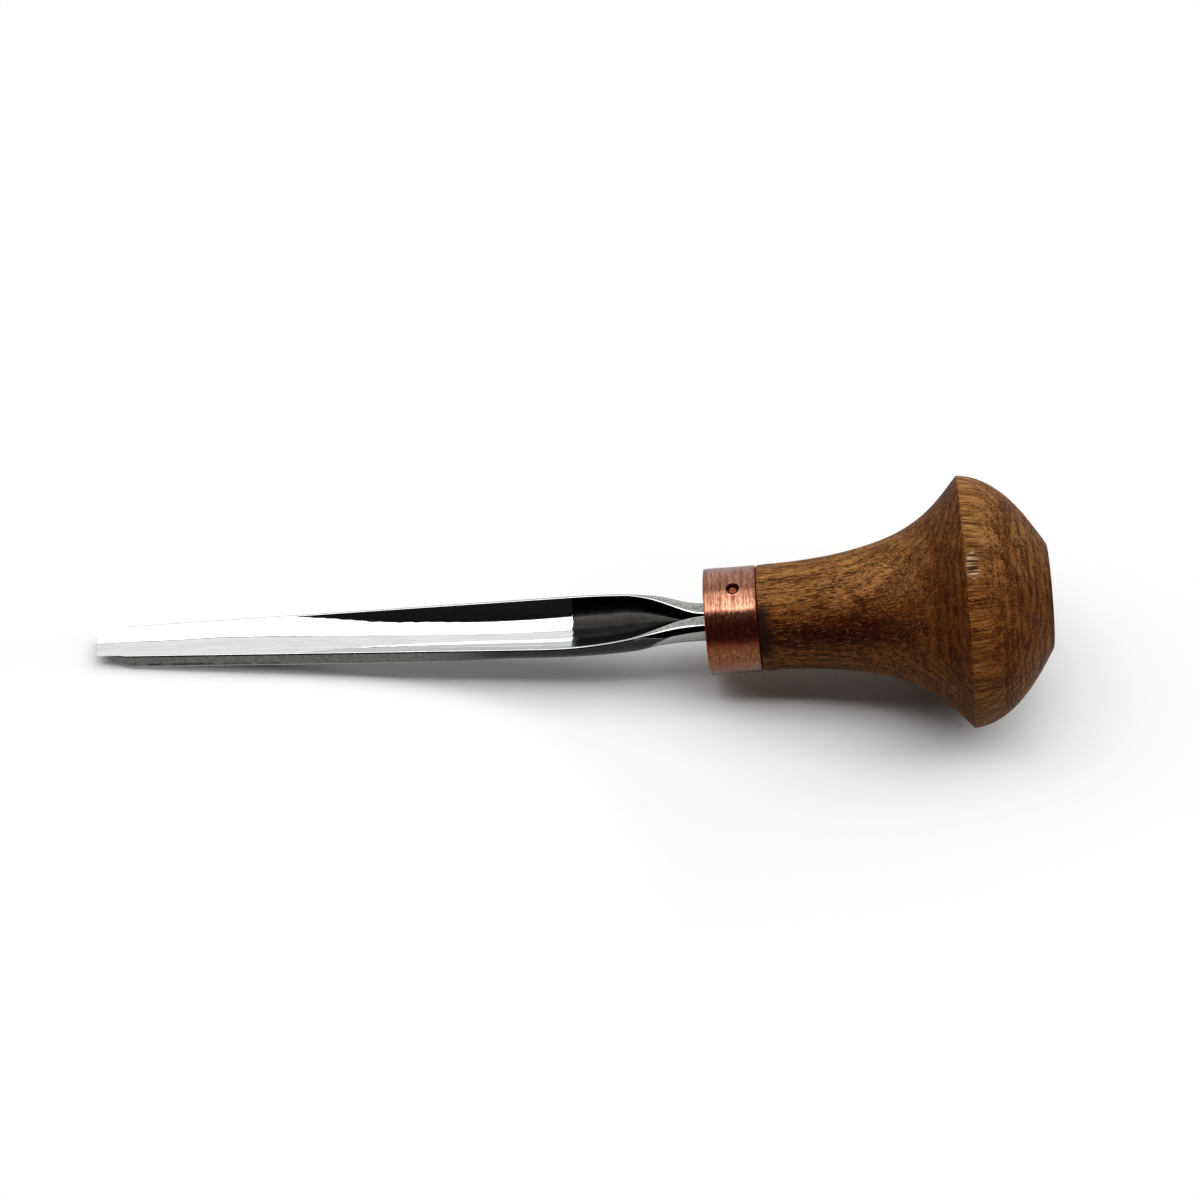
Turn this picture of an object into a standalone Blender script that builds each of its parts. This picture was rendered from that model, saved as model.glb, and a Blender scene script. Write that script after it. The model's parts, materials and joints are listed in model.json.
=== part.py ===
"""Palm gouge: a forged fluted blade with its tang bedded in a turned, mushroom-shaped handle.

The tool's own frame has +X along the handle's axis, from the cutting edge to the butt, with the
front of the ferrule at X = 0 and the hollow of the flute facing +Z. The whole tool hangs on one
empty, which lays it on the ground plane, on the rim of its handle and the heel of its bevel.
"""

import math

import bmesh
import bpy
from mathutils import Matrix, Vector
from mathutils.geometry import interpolate_bezier

# Ferrule: a ring cut from copper tube
FERRULE_DIAMETER = 0.0180
FERRULE_WALL = 0.0010
FERRULE_LENGTH = 0.0088
FERRULE_CHAMFER = 0.0002

# Handle: one turned piece of hardwood, a bell that flares to a rim and a dome behind it
BELL_LENGTH = 0.0345
RIM_DIAMETER = 0.0427
DOME_LENGTH = 0.0142
BUTT_DIAMETER = 0.0175
BELL_RIM_ANGLE = math.radians(48)
DOME_RIM_ANGLE = math.radians(5)
DOME_BUTT_ANGLE = math.radians(57)

# How far the bell's and the dome's end slopes carry, as shares of each one's length
BELL_FRONT_PULL = 0.74
BELL_RIM_PULL = 0.22
DOME_RIM_PULL = 0.53
DOME_BUTT_PULL = 0.31

# Blade: lengths along it run from the front of the ferrule to the cutting edge
BLADE_LENGTH = 0.1036
SHOULDER_LENGTH = 0.0290
FLUTE_WIDTH = 0.0107
TIP_WIDTH = 0.0058
FLUTE_DEPTH = 0.0026
TIP_FLUTE_DEPTH = 0.0006
FLUTE_RUN = 0.0560
BLADE_DEPTH = 0.0037
TIP_DEPTH = 0.0037
WING_HEIGHT = 0.00165
TIP_WING_HEIGHT = 0.0018
WING_WALL = 0.00045
SHOULDER_RISE = 0.0009
BEVEL_LENGTH = 0.0052
CUTTING_EDGE = 0.00015
EDGE_LEAD = 0.0002
SET_ANGLE = math.radians(3.3)
BEND_LENGTH = 0.0040

# Shank and tang: the flute closes to a slit that runs out inside the handle
SHANK_WIDTH = 0.0047
SHANK_HEIGHT = 0.0050
SHANK_TOP = 0.0022
SLIT_WIDTH = 0.0005
SLIT_DEPTH = 0.0018
SLIT_RUNOUT = 0.0030
NECK_LENGTH = 0.0140
TANG_LENGTH = 0.0320
TANG_END_WIDTH = 0.0022

# Where the shoulder's curves start and end, as shares of its length
SHOULDER_FRONT_PULL = 0.71
SHOULDER_SHANK_PULL = 0.25

# How round the underside is: 1 is an ellipse, less is squarer
SHANK_ROUNDNESS = 0.20
FLUTE_ROUNDNESS = 0.50
TIP_ROUNDNESS = 0.25
EDGE_ROUNDNESS = 1.0

# How the hollow curves across: 1 is half an ellipse, 2 a shallow bow
SLIT_CURVE = 1.0
FLUTE_CURVE = 2.0

# Bedding of the tang, and the pin that keeps the ferrule from turning
RESIN_WALL = 0.0006
RESIN_END = 0.0010
TENON_RECESS = 0.0003
PIN_DIAMETER = 0.0017
PIN_FROM_FRONT = 0.0050
PIN_RECESS = 0.00015
PIN_CHAMFER = 0.0002
WOOD_UNDER_PIN = 0.0008

# Gap between pieces that seat on each other
SEAT_GAP = 0.0003

# Facets: an even number of turned sides puts a flat under the handle, an odd number of section
# sides puts a flat under the blade
TURNED_SIDES = 32
PIN_SIDES = 16
SECTION_SIDES = 13
SHOULDER_STEPS = 14
FLUTE_STEPS = 8
CURVE_POINTS = 13
SMOOTH_ANGLE = math.radians(30)
WELD_DISTANCE = 1e-7

# Sizes that follow from the ones above
HANDLE_END = FERRULE_LENGTH + SEAT_GAP + BELL_LENGTH + DOME_LENGTH
RIM_X = FERRULE_LENGTH + SEAT_GAP + BELL_LENGTH
TENON_RADIUS = FERRULE_DIAMETER / 2 - FERRULE_WALL - SEAT_GAP
HEEL = BLADE_LENGTH - BEVEL_LENGTH
SHANK_BOTTOM = SHANK_TOP - SHANK_HEIGHT
SHANK_REACH = max(SHANK_TOP, -SHANK_BOTTOM)
TANG_CORNER = math.hypot(SHANK_WIDTH / 2 + SEAT_GAP, SHANK_REACH + SEAT_GAP)
RESIN_RADIUS = TANG_CORNER + RESIN_WALL
BORE_RADIUS = RESIN_RADIUS + SEAT_GAP
RESIN_DEPTH = TANG_LENGTH + SEAT_GAP + RESIN_END
BORE_DEPTH = RESIN_DEPTH + SEAT_GAP
PIN_HOLE_RADIUS = PIN_DIAMETER / 2 + SEAT_GAP
PIN_HOLE_FLOOR = BORE_RADIUS + WOOD_UNDER_PIN
PIN_FOOT = PIN_HOLE_FLOOR + SEAT_GAP
PIN_TOP = FERRULE_DIAMETER / 2 * math.cos(math.pi / TURNED_SIDES) - PIN_RECESS


def clear_scene():
    for old in list(bpy.data.objects):
        bpy.data.objects.remove(old, do_unlink=True)


def material(name, colour, roughness, metallic):
    """A plain Principled material."""
    made = bpy.data.materials.new(name)
    made.use_nodes = True
    shader = made.node_tree.nodes["Principled BSDF"]
    shader.inputs["Base Color"].default_value = (*colour, 1.0)
    shader.inputs["Roughness"].default_value = roughness
    shader.inputs["Metallic"].default_value = metallic
    made.diffuse_color = (*colour, 1.0)
    return made


def piece(name, shape, surface, parent):
    """Turn a finished bmesh into a named, smooth-shaded object hung on its parent."""
    bmesh.ops.recalc_face_normals(shape, faces=shape.faces)
    mesh = bpy.data.meshes.new(name)
    shape.to_mesh(mesh)
    shape.free()
    mesh.shade_smooth()
    mesh.set_sharp_from_angle(angle=SMOOTH_ANGLE)
    made = bpy.data.objects.new(name, mesh)
    bpy.context.collection.objects.link(made)
    made.parent = parent
    if surface:
        mesh.materials.append(surface)
    return made


def cutter(name, shape, parent):
    """A body that only cuts others."""
    made = piece(name, shape, None, parent)
    made.hide_render = True
    made.display_type = "WIRE"
    return made


def cut(target, tool):
    """Take the tool's volume out of the target."""
    modifier = target.modifiers.new("cut_" + tool.name, "BOOLEAN")
    modifier.operation = "DIFFERENCE"
    modifier.solver = "EXACT"
    modifier.object = tool


def turned(profile, sides, ring=False):
    """Spin (x, radius) points about X. A ring's profile closes; any other starts and ends on X."""
    shape = bmesh.new()
    points = [shape.verts.new((x, 0.0, radius)) for x, radius in profile]
    ends = points[1:] + points[:1] if ring else points[1:]
    edges = [shape.edges.new(pair) for pair in zip(points, ends)]
    bmesh.ops.spin(
        shape,
        geom=points + edges,
        cent=(0, 0, 0),
        axis=(1, 0, 0),
        angle=math.tau,
        steps=sides,
        use_merge=True,
    )
    bmesh.ops.remove_doubles(shape, verts=shape.verts, dist=WELD_DISTANCE)
    half_side = Matrix.Rotation(math.pi / sides, 3, "X")
    bmesh.ops.rotate(shape, verts=shape.verts, cent=(0, 0, 0), matrix=half_side)
    return shape


def slope(angle, length):
    return Vector((math.cos(angle), math.sin(angle))) * length


def lerp(start, end, share):
    return start + (end - start) * share


def ease(share):
    """Smooth step from 0 to 1."""
    share = min(max(share, 0.0), 1.0)
    return share * share * (3 - 2 * share)


def bezier(start, start_pull, end_pull, end, share):
    """One coordinate of a cubic curve."""
    rest = 1 - share
    return (
        rest**3 * start
        + 3 * rest**2 * share * start_pull
        + 3 * rest * share**2 * end_pull
        + share**3 * end
    )


def handle_profile():
    """Half outline of the handle, from the bottom of its bore round the outside to the butt."""
    bell_front = Vector((FERRULE_LENGTH + SEAT_GAP, FERRULE_DIAMETER / 2))
    rim = Vector((RIM_X, RIM_DIAMETER / 2))
    butt = Vector((HANDLE_END, BUTT_DIAMETER / 2))
    bell = interpolate_bezier(
        bell_front,
        bell_front + slope(0, BELL_FRONT_PULL * BELL_LENGTH),
        rim - slope(BELL_RIM_ANGLE, BELL_RIM_PULL * BELL_LENGTH),
        rim,
        CURVE_POINTS,
    )
    dome = interpolate_bezier(
        rim,
        rim + slope(-DOME_RIM_ANGLE, DOME_RIM_PULL * DOME_LENGTH),
        butt - slope(-DOME_BUTT_ANGLE, DOME_BUTT_PULL * DOME_LENGTH),
        butt,
        CURVE_POINTS,
    )
    bore = [(BORE_DEPTH, 0), (BORE_DEPTH, BORE_RADIUS), (TENON_RECESS, BORE_RADIUS)]
    tenon = [(TENON_RECESS, TENON_RADIUS), (bell_front.x, TENON_RADIUS)]
    return bore + tenon + [tuple(point) for point in bell + dome[1:]] + [(HANDLE_END, 0)]


def ferrule_profile():
    """Cross-section of the tube's wall, with its outer corners broken."""
    outside = FERRULE_DIAMETER / 2
    inside = outside - FERRULE_WALL
    return [
        (0, inside),
        (0, outside - FERRULE_CHAMFER),
        (FERRULE_CHAMFER, outside),
        (FERRULE_LENGTH - FERRULE_CHAMFER, outside),
        (FERRULE_LENGTH, outside - FERRULE_CHAMFER),
        (FERRULE_LENGTH, inside),
    ]


def on_blade(along, side, height):
    """A point of the cross-section at a distance along the blade, in the tool's frame.

    Behind the ferrule's front the blade follows the handle's axis. From there it bends up
    through SET_ANGLE over BEND_LENGTH and runs straight.
    """
    bent = min(max(along, 0.0), BEND_LENGTH)
    angle = SET_ANGLE * bent / BEND_LENGTH
    radius = BEND_LENGTH / SET_ANGLE
    straight = along - bent
    centre = Vector((-radius * math.sin(angle), 0, radius * (1 - math.cos(angle))))
    ahead = Vector((-math.cos(angle), 0, math.sin(angle)))
    up = Vector((math.sin(angle), 0, math.cos(angle)))
    return centre + ahead * straight + up * height + Vector((0, side, 0))


def section(along, half_width, top, bottom, roundness, hollow, lead=0.0):
    """Closed outline across the blade: round the underside, then back through the hollow.

    The hollow is its half width, its depth and its curve. The lead is how far the lowest point
    stands ahead of the two wings.
    """
    hollow_half, hollow_depth, curve = hollow
    turns = [math.pi * step / SECTION_SIDES for step in range(SECTION_SIDES + 1)]
    outline = []
    for turn in turns:
        side = half_width * math.copysign(abs(math.cos(turn)) ** roundness, math.cos(turn))
        drop = max(math.sin(turn), 0.0) ** roundness
        outline.append(on_blade(along + lead * drop, side, lerp(top, bottom, drop)))
    for turn in reversed(turns):
        side = hollow_half * math.cos(turn)
        drop = max(math.sin(turn), 0.0) ** curve
        outline.append(on_blade(along + lead * drop, side, top - hollow_depth * drop))
    return outline


def tang_section(depth, slit_depth, gap=0.0):
    """Section of the tapered square tang at a depth inside the handle."""
    share = max(depth, 0.0) / TANG_LENGTH
    half_width = lerp(SHANK_WIDTH, TANG_END_WIDTH, share) / 2 + gap
    top = lerp(SHANK_TOP, TANG_END_WIDTH / 2, share) + gap
    bottom = lerp(SHANK_BOTTOM, -TANG_END_WIDTH / 2, share) - gap
    slit = (SLIT_WIDTH / 2, slit_depth, SLIT_CURVE)
    return section(-depth, half_width, top, bottom, SHANK_ROUNDNESS, slit)


def shoulder_section(share):
    """Section where the square shank opens out into the flute."""
    blend = ease(share)
    along = bezier(
        0.0,
        SHOULDER_SHANK_PULL * SHOULDER_LENGTH,
        (1 - SHOULDER_FRONT_PULL) * SHOULDER_LENGTH,
        SHOULDER_LENGTH,
        share,
    )
    taper = (FLUTE_WIDTH - TIP_WIDTH) / (BLADE_LENGTH - SHOULDER_LENGTH)
    crest = FLUTE_WIDTH + taper * SHOULDER_FRONT_PULL * SHOULDER_LENGTH
    half_width = bezier(SHANK_WIDTH, SHANK_WIDTH, crest, FLUTE_WIDTH, share) / 2
    rise = SHOULDER_RISE * 4 * blend * (1 - blend)
    top = lerp(SHANK_TOP, WING_HEIGHT, blend) + rise
    bottom = lerp(SHANK_BOTTOM, WING_HEIGHT - BLADE_DEPTH, blend)
    wall = lerp((SHANK_WIDTH - SLIT_WIDTH) / 2, WING_WALL, ease(along / NECK_LENGTH))
    depth = lerp(SLIT_DEPTH, FLUTE_DEPTH, blend)
    hollow = (half_width - wall, depth, lerp(SLIT_CURVE, FLUTE_CURVE, blend))
    roundness = lerp(SHANK_ROUNDNESS, FLUTE_ROUNDNESS, blend)
    return section(along, half_width, top, bottom, roundness, hollow)


def flute_section(along):
    """Section of the straight flute, which shallows over FLUTE_RUN from the shoulder."""
    share = (along - SHOULDER_LENGTH) / (BLADE_LENGTH - SHOULDER_LENGTH)
    half_width = lerp(FLUTE_WIDTH, TIP_WIDTH, share) / 2
    top = lerp(WING_HEIGHT, TIP_WING_HEIGHT, share)
    bottom = top - lerp(BLADE_DEPTH, TIP_DEPTH, share)
    roundness = lerp(FLUTE_ROUNDNESS, TIP_ROUNDNESS, share)
    flute_half = half_width - lerp(WING_WALL, CUTTING_EDGE, share)
    depth = lerp(FLUTE_DEPTH, TIP_FLUTE_DEPTH, ease((along - SHOULDER_LENGTH) / FLUTE_RUN))
    hollow = (flute_half, depth, FLUTE_CURVE)
    return section(along, half_width, top, bottom, roundness, hollow)


def edge_section():
    """Outline of the cutting edge, which the flute and the bevel leave one thin wall apart."""
    half_width = TIP_WIDTH / 2
    bottom = TIP_WING_HEIGHT - TIP_FLUTE_DEPTH - CUTTING_EDGE
    hollow = (half_width - CUTTING_EDGE, TIP_FLUTE_DEPTH, FLUTE_CURVE)
    return section(
        BLADE_LENGTH, half_width, TIP_WING_HEIGHT, bottom, EDGE_ROUNDNESS, hollow, EDGE_LEAD
    )


def loft(sections):
    """Skin a row of outlines that have matching points, and close both ends."""
    shape = bmesh.new()
    rings = [[shape.verts.new(point) for point in outline] for outline in sections]
    for ring, following in zip(rings, rings[1:]):
        for i in range(len(ring)):
            shape.faces.new((ring[i - 1], ring[i], following[i], following[i - 1]))
    shape.faces.new(rings[0])
    shape.faces.new(rings[-1])
    return shape


def blade_shape():
    """Tang, shank, shoulder, flute and outside bevel, as one forging."""
    sections = [tang_section(TANG_LENGTH, 0.0), tang_section(SLIT_RUNOUT, 0.0)]
    sections += [shoulder_section(step / SHOULDER_STEPS) for step in range(SHOULDER_STEPS + 1)]
    for step in range(1, FLUTE_STEPS + 1):
        sections.append(flute_section(lerp(SHOULDER_LENGTH, HEEL, step / FLUTE_STEPS)))
    sections.append(edge_section())
    return loft(sections)


def tang_socket_shape():
    """The space that the tang and its seat gap take up in the resin."""
    ends = (TANG_LENGTH + SEAT_GAP, 0.0)
    sections = [tang_section(depth, 0.0, SEAT_GAP) for depth in ends]
    return loft(sections)


def rest_tilt():
    """Angle between the handle's axis and the ground when the rim and the bevel's heel touch it."""
    heel = min(flute_section(HEEL), key=lambda point: point.z)
    rim_flat = RIM_DIAMETER / 2 * math.cos(math.pi / TURNED_SIDES)
    return math.atan2(heel.z + rim_flat, RIM_X - heel.x)


def lay_down(frame):
    """Tilt the tool to its resting angle and centre it on the ground plane."""
    frame.rotation_euler = (0, -rest_tilt(), 0)
    bpy.context.view_layer.update()
    corners = [
        made.matrix_world @ vertex.co
        for made in frame.children
        if made.display_type != "WIRE"
        for vertex in made.data.vertices
    ]
    low = Vector(min(corner[axis] for corner in corners) for axis in range(3))
    high = Vector(max(corner[axis] for corner in corners) for axis in range(3))
    frame.location = (-(low.x + high.x) / 2, -(low.y + high.y) / 2, -low.z)


def build():
    clear_scene()
    steel = material("polished_tool_steel", (0.62, 0.63, 0.64), 0.12, 1.0)
    wood = material("oiled_hardwood", (0.24, 0.11, 0.045), 0.55, 0.0)
    copper = material("brushed_copper", (0.62, 0.27, 0.17), 0.32, 1.0)
    pin_metal = material("pin_copper", (0.40, 0.17, 0.11), 0.45, 1.0)
    resin = material("cured_resin", (0.48, 0.36, 0.18), 0.40, 0.0)

    frame = bpy.data.objects.new("palm_gouge", None)
    bpy.context.collection.objects.link(frame)

    handle = piece("handle", turned(handle_profile(), TURNED_SIDES), wood, frame)
    ferrule = piece("ferrule", turned(ferrule_profile(), TURNED_SIDES, ring=True), copper, frame)
    piece("blade", blade_shape(), steel, frame)

    bed_profile = [
        (TENON_RECESS, 0),
        (TENON_RECESS, RESIN_RADIUS),
        (RESIN_DEPTH, RESIN_RADIUS),
        (RESIN_DEPTH, 0),
    ]
    bed = piece("tang_resin", turned(bed_profile, TURNED_SIDES), resin, frame)
    cut(bed, cutter("tang_socket", tang_socket_shape(), frame))

    pin_length = PIN_TOP - PIN_FOOT
    pin_radius = PIN_DIAMETER / 2
    pin_profile = [
        (0, 0),
        (0, pin_radius),
        (pin_length - PIN_CHAMFER, pin_radius),
        (pin_length, pin_radius - PIN_CHAMFER),
        (pin_length, 0),
    ]
    pin = piece("ferrule_pin", turned(pin_profile, PIN_SIDES), pin_metal, frame)
    hole_top = FERRULE_DIAMETER / 2 + FERRULE_WALL
    hole_profile = [
        (0, 0),
        (0, PIN_HOLE_RADIUS),
        (hole_top - PIN_HOLE_FLOOR, PIN_HOLE_RADIUS),
        (hole_top - PIN_HOLE_FLOOR, 0),
    ]
    hole = cutter("pin_hole", turned(hole_profile, PIN_SIDES), frame)
    for upright, foot in ((pin, PIN_FOOT), (hole, PIN_HOLE_FLOOR)):
        upright.rotation_euler = (0, -math.pi / 2, 0)
        upright.location = (PIN_FROM_FRONT, 0, foot)
    cut(ferrule, hole)
    cut(handle, hole)

    lay_down(frame)


build()
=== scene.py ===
# %% [markdown]
# # A palm gouge, dressed for its picture
# The solids of this tool come packed as a fixed frame: a forged blade, a turned wooden handle, a
# copper ferrule with its pin, and the resin that beds the tang. This lesson dresses them piece by
# piece. Every new piece is a surface worked out with numpy, so that its shape is a formula that
# can be read, and every finish is made of shader nodes, so that it needs no picture.

# %% Load the frame
import json
import math

import bpy
import numpy as np
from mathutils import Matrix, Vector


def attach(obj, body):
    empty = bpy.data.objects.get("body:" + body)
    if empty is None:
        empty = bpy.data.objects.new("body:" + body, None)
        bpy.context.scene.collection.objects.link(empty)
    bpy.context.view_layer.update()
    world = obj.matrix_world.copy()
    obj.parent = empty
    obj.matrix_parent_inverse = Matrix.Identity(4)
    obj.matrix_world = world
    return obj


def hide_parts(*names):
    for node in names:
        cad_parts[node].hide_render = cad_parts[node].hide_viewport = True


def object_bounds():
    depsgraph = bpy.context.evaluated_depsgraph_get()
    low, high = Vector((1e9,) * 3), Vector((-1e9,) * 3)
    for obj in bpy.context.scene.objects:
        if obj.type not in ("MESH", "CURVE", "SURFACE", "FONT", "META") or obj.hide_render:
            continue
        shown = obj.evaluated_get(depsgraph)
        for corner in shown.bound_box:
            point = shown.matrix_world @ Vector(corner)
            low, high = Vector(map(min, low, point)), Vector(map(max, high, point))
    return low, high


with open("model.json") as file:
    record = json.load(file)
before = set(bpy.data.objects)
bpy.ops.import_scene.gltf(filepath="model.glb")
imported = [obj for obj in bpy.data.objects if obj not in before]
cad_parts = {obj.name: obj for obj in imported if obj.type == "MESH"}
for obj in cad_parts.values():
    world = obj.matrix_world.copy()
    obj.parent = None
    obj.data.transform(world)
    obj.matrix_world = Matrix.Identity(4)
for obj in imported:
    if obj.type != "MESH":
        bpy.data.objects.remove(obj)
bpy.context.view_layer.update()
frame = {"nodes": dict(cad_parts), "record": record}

# %% [markdown]
# ## The tool's own frame
# The gouge lies tilted, resting on the rim of its handle and the heel of its bevel. Shapes are
# far easier to write in the tool's own frame: x runs along the handle from the front of the
# ferrule to the butt, z points up out of the flute, and everything is in millimetres. The packed
# record has a mount in the middle of the butt, which gives that frame without any measuring.

# %% Tool frame
MM = 0.001
HANDLE_END = 57.8
butt = next(mount for mount in frame["record"]["mounts"] if mount["name"] == "butt_face")
axis = np.array(butt["axis"])
TILT = math.atan2(axis[2], axis[0])
TOOL_ORIGIN = np.array(butt["pos_m"]) - axis * HANDLE_END * MM
TOOL_AXES = np.array([axis, [0.0, 1.0, 0.0], [-axis[2], 0.0, axis[0]]])


def to_row(points):
    """Tool millimetres to metres in the row frame: origin + x axis + y axis + z axis."""
    return TOOL_ORIGIN + (points * MM) @ TOOL_AXES


print("tilt %.3f degrees, origin" % math.degrees(TILT), TOOL_ORIGIN.round(6))

# %% [markdown]
# ## The camera
# The photograph looks down at about 53 degrees, a little from the cutting edge's side, and is
# rolled slightly. The elevation, the turn and the roll are written down, and the camera's three
# axes follow from them. A long lens gives the same weak perspective.

# %% Camera
VIEW_ELEVATION = math.radians(53.43)
VIEW_TURN = math.radians(5.33)
VIEW_ROLL = math.radians(5.72)
VIEW_DISTANCE = 555.1
VIEW_AIM = np.array([3.98, 1.06, 17.48])
LENS, SENSOR, CLIP_START = 99.0, 36.0, 0.01

forward = np.array([
    math.cos(VIEW_ELEVATION) * math.sin(VIEW_TURN),
    math.cos(VIEW_ELEVATION) * math.cos(VIEW_TURN),
    -math.sin(VIEW_ELEVATION),
])
level = np.array([math.cos(VIEW_TURN), -math.sin(VIEW_TURN), 0.0])
upright = np.cross(level, forward)
placing = np.eye(4)
placing[:3, 0] = level * math.cos(VIEW_ROLL) + upright * math.sin(VIEW_ROLL)
placing[:3, 1] = upright * math.cos(VIEW_ROLL) - level * math.sin(VIEW_ROLL)
placing[:3, 2] = -forward
placing[:3, 3] = (VIEW_AIM - forward * VIEW_DISTANCE) * MM

lens = bpy.data.cameras.new("camera")
lens.lens = LENS
lens.sensor_width = SENSOR
lens.clip_start = CLIP_START
camera = bpy.data.objects.new("camera", lens)
bpy.context.collection.objects.link(camera)
camera.matrix_world = placing.T
bpy.context.scene.camera = camera
bpy.context.scene.view_settings.view_transform = "Standard"
print("camera at", placing[:3, 3].round(4))

# %% [markdown]
# ## Curves that the pieces share
# A forged or turned outline eases from one size to the next. Three small formulas do all of it:
# a straight blend, a smooth step and a cubic curve. Hand-finished surfaces are never quite true,
# so a fourth sums a few sine waves of fixed random directions into a gentle waviness.

# %% Curves
def lerp(start, end, share):
    """Straight blend: start plus a share of the way to the end."""
    return start + (end - start) * share


def ease(share):
    """Smooth step: 3 s squared minus 2 s cubed, held at 0 and 1 outside."""
    share = np.clip(share, 0.0, 1.0)
    return share * share * (3 - 2 * share)


def bezier(start, start_pull, end_pull, end, share):
    """Cubic curve: its four values weighted by the Bernstein terms of the share."""
    rest = 1 - share
    return (
        rest**3 * start
        + 3 * rest**2 * share * start_pull
        + 3 * rest * share**2 * end_pull
        + share**3 * end
    )


def waviness(first, second, wavelength, seed, waves=7):
    """Sum of plane sine waves across two coordinates, scaled to stay within about -1 to 1."""
    draw = np.random.default_rng(seed)
    total = np.zeros(np.broadcast(first, second).shape)
    for turn, stretch, phase in draw.uniform((0, 0.6, 0), (math.pi, 1.7, math.tau), (waves, 3)):
        run = first * math.cos(turn) + second * math.sin(turn)
        total += np.sin(run * math.tau / (wavelength * stretch) + phase)
    return total / math.sqrt(waves * 2)


print("an ease is half way at half its share:", ease(0.5))

# %% [markdown]
# ## From a grid of points to a mesh
# Every new piece is a grid: rings of points, one ring per step along the piece. Neighbouring
# rings are joined by quads. An end is closed by a fan of triangles to one point, or by faces
# across it, so that no piece is left open.

# %% Faces of a grid
NO_FACES = np.zeros((0, 3), int)


def grid_quads(rings, around, closed_along=False):
    """Quads between each ring and the next, where every ring closes on itself."""
    index = np.arange(rings * around).reshape(rings, around)
    corners = [index, np.roll(index, -1, 1)]
    corners += [np.roll(corners[1], -1, 0), np.roll(index, -1, 0)]
    quads = np.stack(corners, axis=-1)
    return (quads if closed_along else quads[:-1]).reshape(-1, 4)


def fan(ring, pole):
    """Triangles from a ring of point numbers to one pole."""
    return np.stack((ring, np.roll(ring, -1), np.full(len(ring), pole)), axis=-1)


def close_ends(grid, first_pole, last_pole):
    """A turned grid's points and two poles, with a fan from each end ring to its pole."""
    rings, around = grid.shape[:2]
    points = np.concatenate((grid.reshape(-1, 3), [first_pole, last_pole]))
    ring = np.arange(around)
    pole = rings * around
    first_fan = fan(ring, pole)[:, ::-1]
    last_fan = fan(ring + (rings - 1) * around, pole + 1)
    return points, np.concatenate((first_fan, last_fan))


print("a 3 by 8 grid has", len(grid_quads(3, 8)), "quads")

# %% [markdown]
# ## From a mesh to a piece
# A piece is an object whose place is in its mesh. It rides on the tool's one body, hides the CAD
# node that it stands for and takes its finish as its material. Numbers that the finish needs are
# stored on its points. The signed volume says whether the faces point outwards, and they are
# turned round if they don't. Edges sharper than a set angle stay crisp, and the rest is smooth.

# %% Add a piece
SMOOTH_ANGLE = math.radians(28)


def add_piece(name, node, finish, points, quads, triangles=NO_FACES, weights={}):
    """Put points, in tool millimetres, and faces into an object that stands for a CAD node."""
    halves = np.concatenate((quads[:, :3], quads[:, [0, 2, 3]], triangles))
    first, second, third = points[halves.T]
    volume = np.einsum("ij,ij", first, np.cross(second, third)) / 6
    turn = 1 if volume > 0 else -1
    mesh = bpy.data.meshes.new(name)
    faces = quads[:, ::turn].tolist() + triangles[:, ::turn].tolist()
    mesh.from_pydata(to_row(points).tolist(), [], faces)
    for label, values in weights.items():
        mesh.attributes.new(label, "FLOAT", "POINT").data.foreach_set("value", values.ravel())
    mesh.shade_smooth()
    mesh.set_sharp_from_angle(angle=SMOOTH_ANGLE)
    mesh.materials.append(finish)
    made = bpy.data.objects.new(name, mesh)
    bpy.context.collection.objects.link(made)
    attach(made, "root")
    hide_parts(node)
    print(name, len(halves), "triangles, %.0f cubic mm" % abs(volume))


print("edges over %.0f degrees stay sharp" % math.degrees(SMOOTH_ANGLE))

# %% [markdown]
# ## Shader maths as Python
# A finish is a graph of nodes. It could be wired by hand in the shader editor, but it reads
# better as sums and products. This small class wraps one socket: adding two of them adds a Math
# node, and one method makes any other node.

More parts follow.
